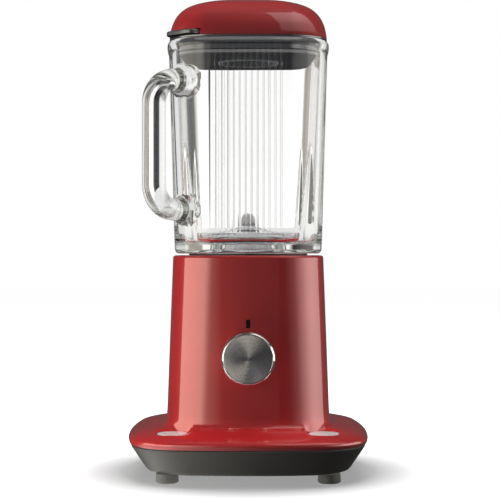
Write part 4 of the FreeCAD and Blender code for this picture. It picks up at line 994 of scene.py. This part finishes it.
def make_floor():
    """A white floor that takes a soft shadow, different to each kind of ray.

    The camera sees it glow more with the distance from the object: darker near it, a painted
    contact shadow over the real one. Glass sees the same painted shadow, dimmer. Gloss and shade
    rays find a painted light patch on it at the left front only.
    """
    reach = FLOOR_REACH
    corners = [(-reach, -reach, 0), (reach, -reach, 0), (reach, reach, 0), (-reach, reach, 0)]
    floor = new_object("studio_floor", corners, [(0, 1, 2, 3)], smooth=False)
    s = Shader("studio_floor")
    s.principled.inputs["Base Color"].default_value = (0.5, 0.5, 0.5, 1)
    s.principled.inputs["Emission Color"].default_value = (1, 1, 1, 1)
    s.set(roughness=0.9, specular=0.0)
    place = s.coords.outputs["Object"]
    away = s.calculate("VectorMath", "LENGTH", place)
    # Camera rays: the glow rises from 0.09 near the object to 0.95 further out, a painted contact
    # shadow.
    s.link(s.spread(away, 0.09, 0.95, 0.108, 0.175), s.principled.inputs["Emission Strength"])

    # Glass rays: a glow that is also dimmer near the object, a painted shadow.
    glassed = s.node("ShaderNodeEmission")
    s.link(s.spread(away, 0.35, 0.85, 0.11, 0.5), glassed.inputs["Strength"])

    # Gloss and shade rays: a patch glowing at the left front near the object and dim elsewhere,
    # painted light that the parts near it take as light and reflection.
    across = s.parts(place)
    behind = s.spread(across["Y"], -0.2, 0.2, -0.1, 0.02)
    far = s.spread(away, -0.2, 0.2, 0.26, 0.36)
    edge = s.calculate("Math", "MAXIMUM", s.calculate("Math", "MAXIMUM", across["X"], behind), far)
    stops = [(0.0, 1.0), (0.28, 1.0), (0.38, 0.4), (0.52, 0.12), (0.7, 0.04), (1.0, 0.06)]
    corner = s.node("ShaderNodeEmission")
    s.link(s.ramp(s.spread(edge, 0.0, 1.0, -0.2, 0.2), stops), corner.inputs["Color"])
    corner.inputs["Strength"].default_value = 1.3

    shader = s.by_ray(s.principled.outputs["BSDF"], glassed.outputs[0], corner.outputs[0])
    s.link(shader, s.output.inputs["Surface"])
    floor.data.materials.append(s.material)


# What glass sees of the studio, by azimuth in degrees from straight back (- is left): a white room
# with dark flags, which draw the edges of the glass and the dark line in the handle.
THROUGH_GLASS = [
    (-180, 0.04), (-168, 0.06), (-158, 0.95), (-140, 0.95), (-136, 0.3), (-126, 0.3), (-122, 1.0),
    (-84, 1.0), (-80, 0.35), (-68, 0.35), (-64, 0.9), (-30, 0.85), (-27, 0.025), (-6.3, 0.025),
    (-5.0, 1.15), (7, 1.15), (8.5, (0.30, 0.27, 0.23)), (19, (0.30, 0.27, 0.23)), (22, 0.85),
    (52, 0.85), (56, (0.36, 0.34, 0.31)), (66, (0.36, 0.34, 0.31)), (70, 1.0), (110, 1.0),
    (114, 0.3), (126, 0.3), (130, 0.95), (158, 0.95), (168, 0.06), (180, 0.04),
]


def make_world():
    """White behind the object, dim for gloss and shade, and a white room with flags for glass."""
    world = bpy.data.worlds.new("studio")
    bpy.context.scene.world = world
    world.use_nodes = True
    n = Nodes(world.node_tree)
    n.tree.nodes.clear()

    def background(colour):
        shader = n.node("ShaderNodeBackground")
        n.feed(shader.inputs["Color"], colour)
        return shader.outputs["Background"]

    way = n.parts(n.node("ShaderNodeTexCoord").outputs["Generated"])
    azimuth = n.calculate("Math", "ARCTAN2", way["X"], way["Y"])
    around = n.ramp(
        n.spread(azimuth, 0.0, 1.0, -math.pi, math.pi),
        [((degrees + 180) / 360, shade) for degrees, shade in THROUGH_GLASS],
    )
    steep = n.calculate("Math", "ABSOLUTE", way["Z"])
    upright = n.ramp(steep, [(0.0, 1.0), (0.30, 1.0), (0.42, 0.35), (1.0, 0.6)])
    room = background(n.calculate("VectorMath", "MULTIPLY", around, upright))
    shader = n.by_ray(background((1, 1, 1, 1)), room, background((0.07, 0.07, 0.07, 1)))
    n.link(shader, n.node("ShaderNodeOutputWorld").inputs["Surface"])


def make_lights():
    """Three panels for the gloss, a soft light from above, and a key and a fill without shadows."""
    cycles = bpy.context.scene.cycles
    cycles.max_bounces = cycles.transmission_bounces = cycles.glossy_bounces = LIGHT_BOUNCES
    level = [(0.0, 1.0), (0.8, 1.0), (1.0, 0.0)]
    panel(
        "left_panel", (-88, -8), (0.0, 0.54), 3.0, (1.0, 0.94, 0.78),
        [(0.0, 1.0), (0.75, 0.95), (0.88, 0.5), (1.0, 0.0)], level,
    )
    panel(
        "right_panel", (10, 113), (0.0, 0.5), 3.2, (1.0, 0.96, 0.88),
        [(0.0, 0.0), (0.25, 0.14), (0.58, 0.85), (0.68, 0.9), (1.0, 0.5)], level,
    )
    panel(
        "lid_panel", (10, 92), (0.6, 2.8), 1.7, (1.0, 0.96, 0.90),
        [(0.0, 0.8), (0.3, 1.0), (1.0, 1.0)], [(0.0, 0.3), (0.4, 0.9), (1.0, 1.0)],
    )
    area_light("top", (0, 0.1, 1.6), (0, 0, 0), 1.3, 15.0)
    for name, place, power in (("key", (-1.35, -0.15, 0.8), 15.0), ("fill", (1.1, 0.1, 1.0), 6.0)):
        area_light(name, place, (0, 0, 0.2), 0.5, power).use_shadow = False


def make_camera():
    camera = bpy.data.cameras.new("camera")
    camera.sensor_width = SENSOR_WIDTH
    camera.lens = FOCAL_LENGTH
    camera.shift_x = LENS_SHIFT
    camera.clip_end = 50.0
    obj = bpy.data.objects.new("camera", camera)
    obj.location = CAMERA_PLACE
    obj.rotation_euler = (math.pi / 2, 0, 0)
    bpy.context.scene.collection.objects.link(obj)
    bpy.context.scene.camera = obj


dress_cad_nodes()
make_body_shell()
make_controls()
make_button_spring("ice_button_spring", "ice_press")
make_button_spring("pulse_button_spring", "pulse_press")
make_lid()
make_jug()
make_floor()
make_world()
make_lights()
make_camera()
bpy.context.scene.view_settings.view_transform = "Standard"
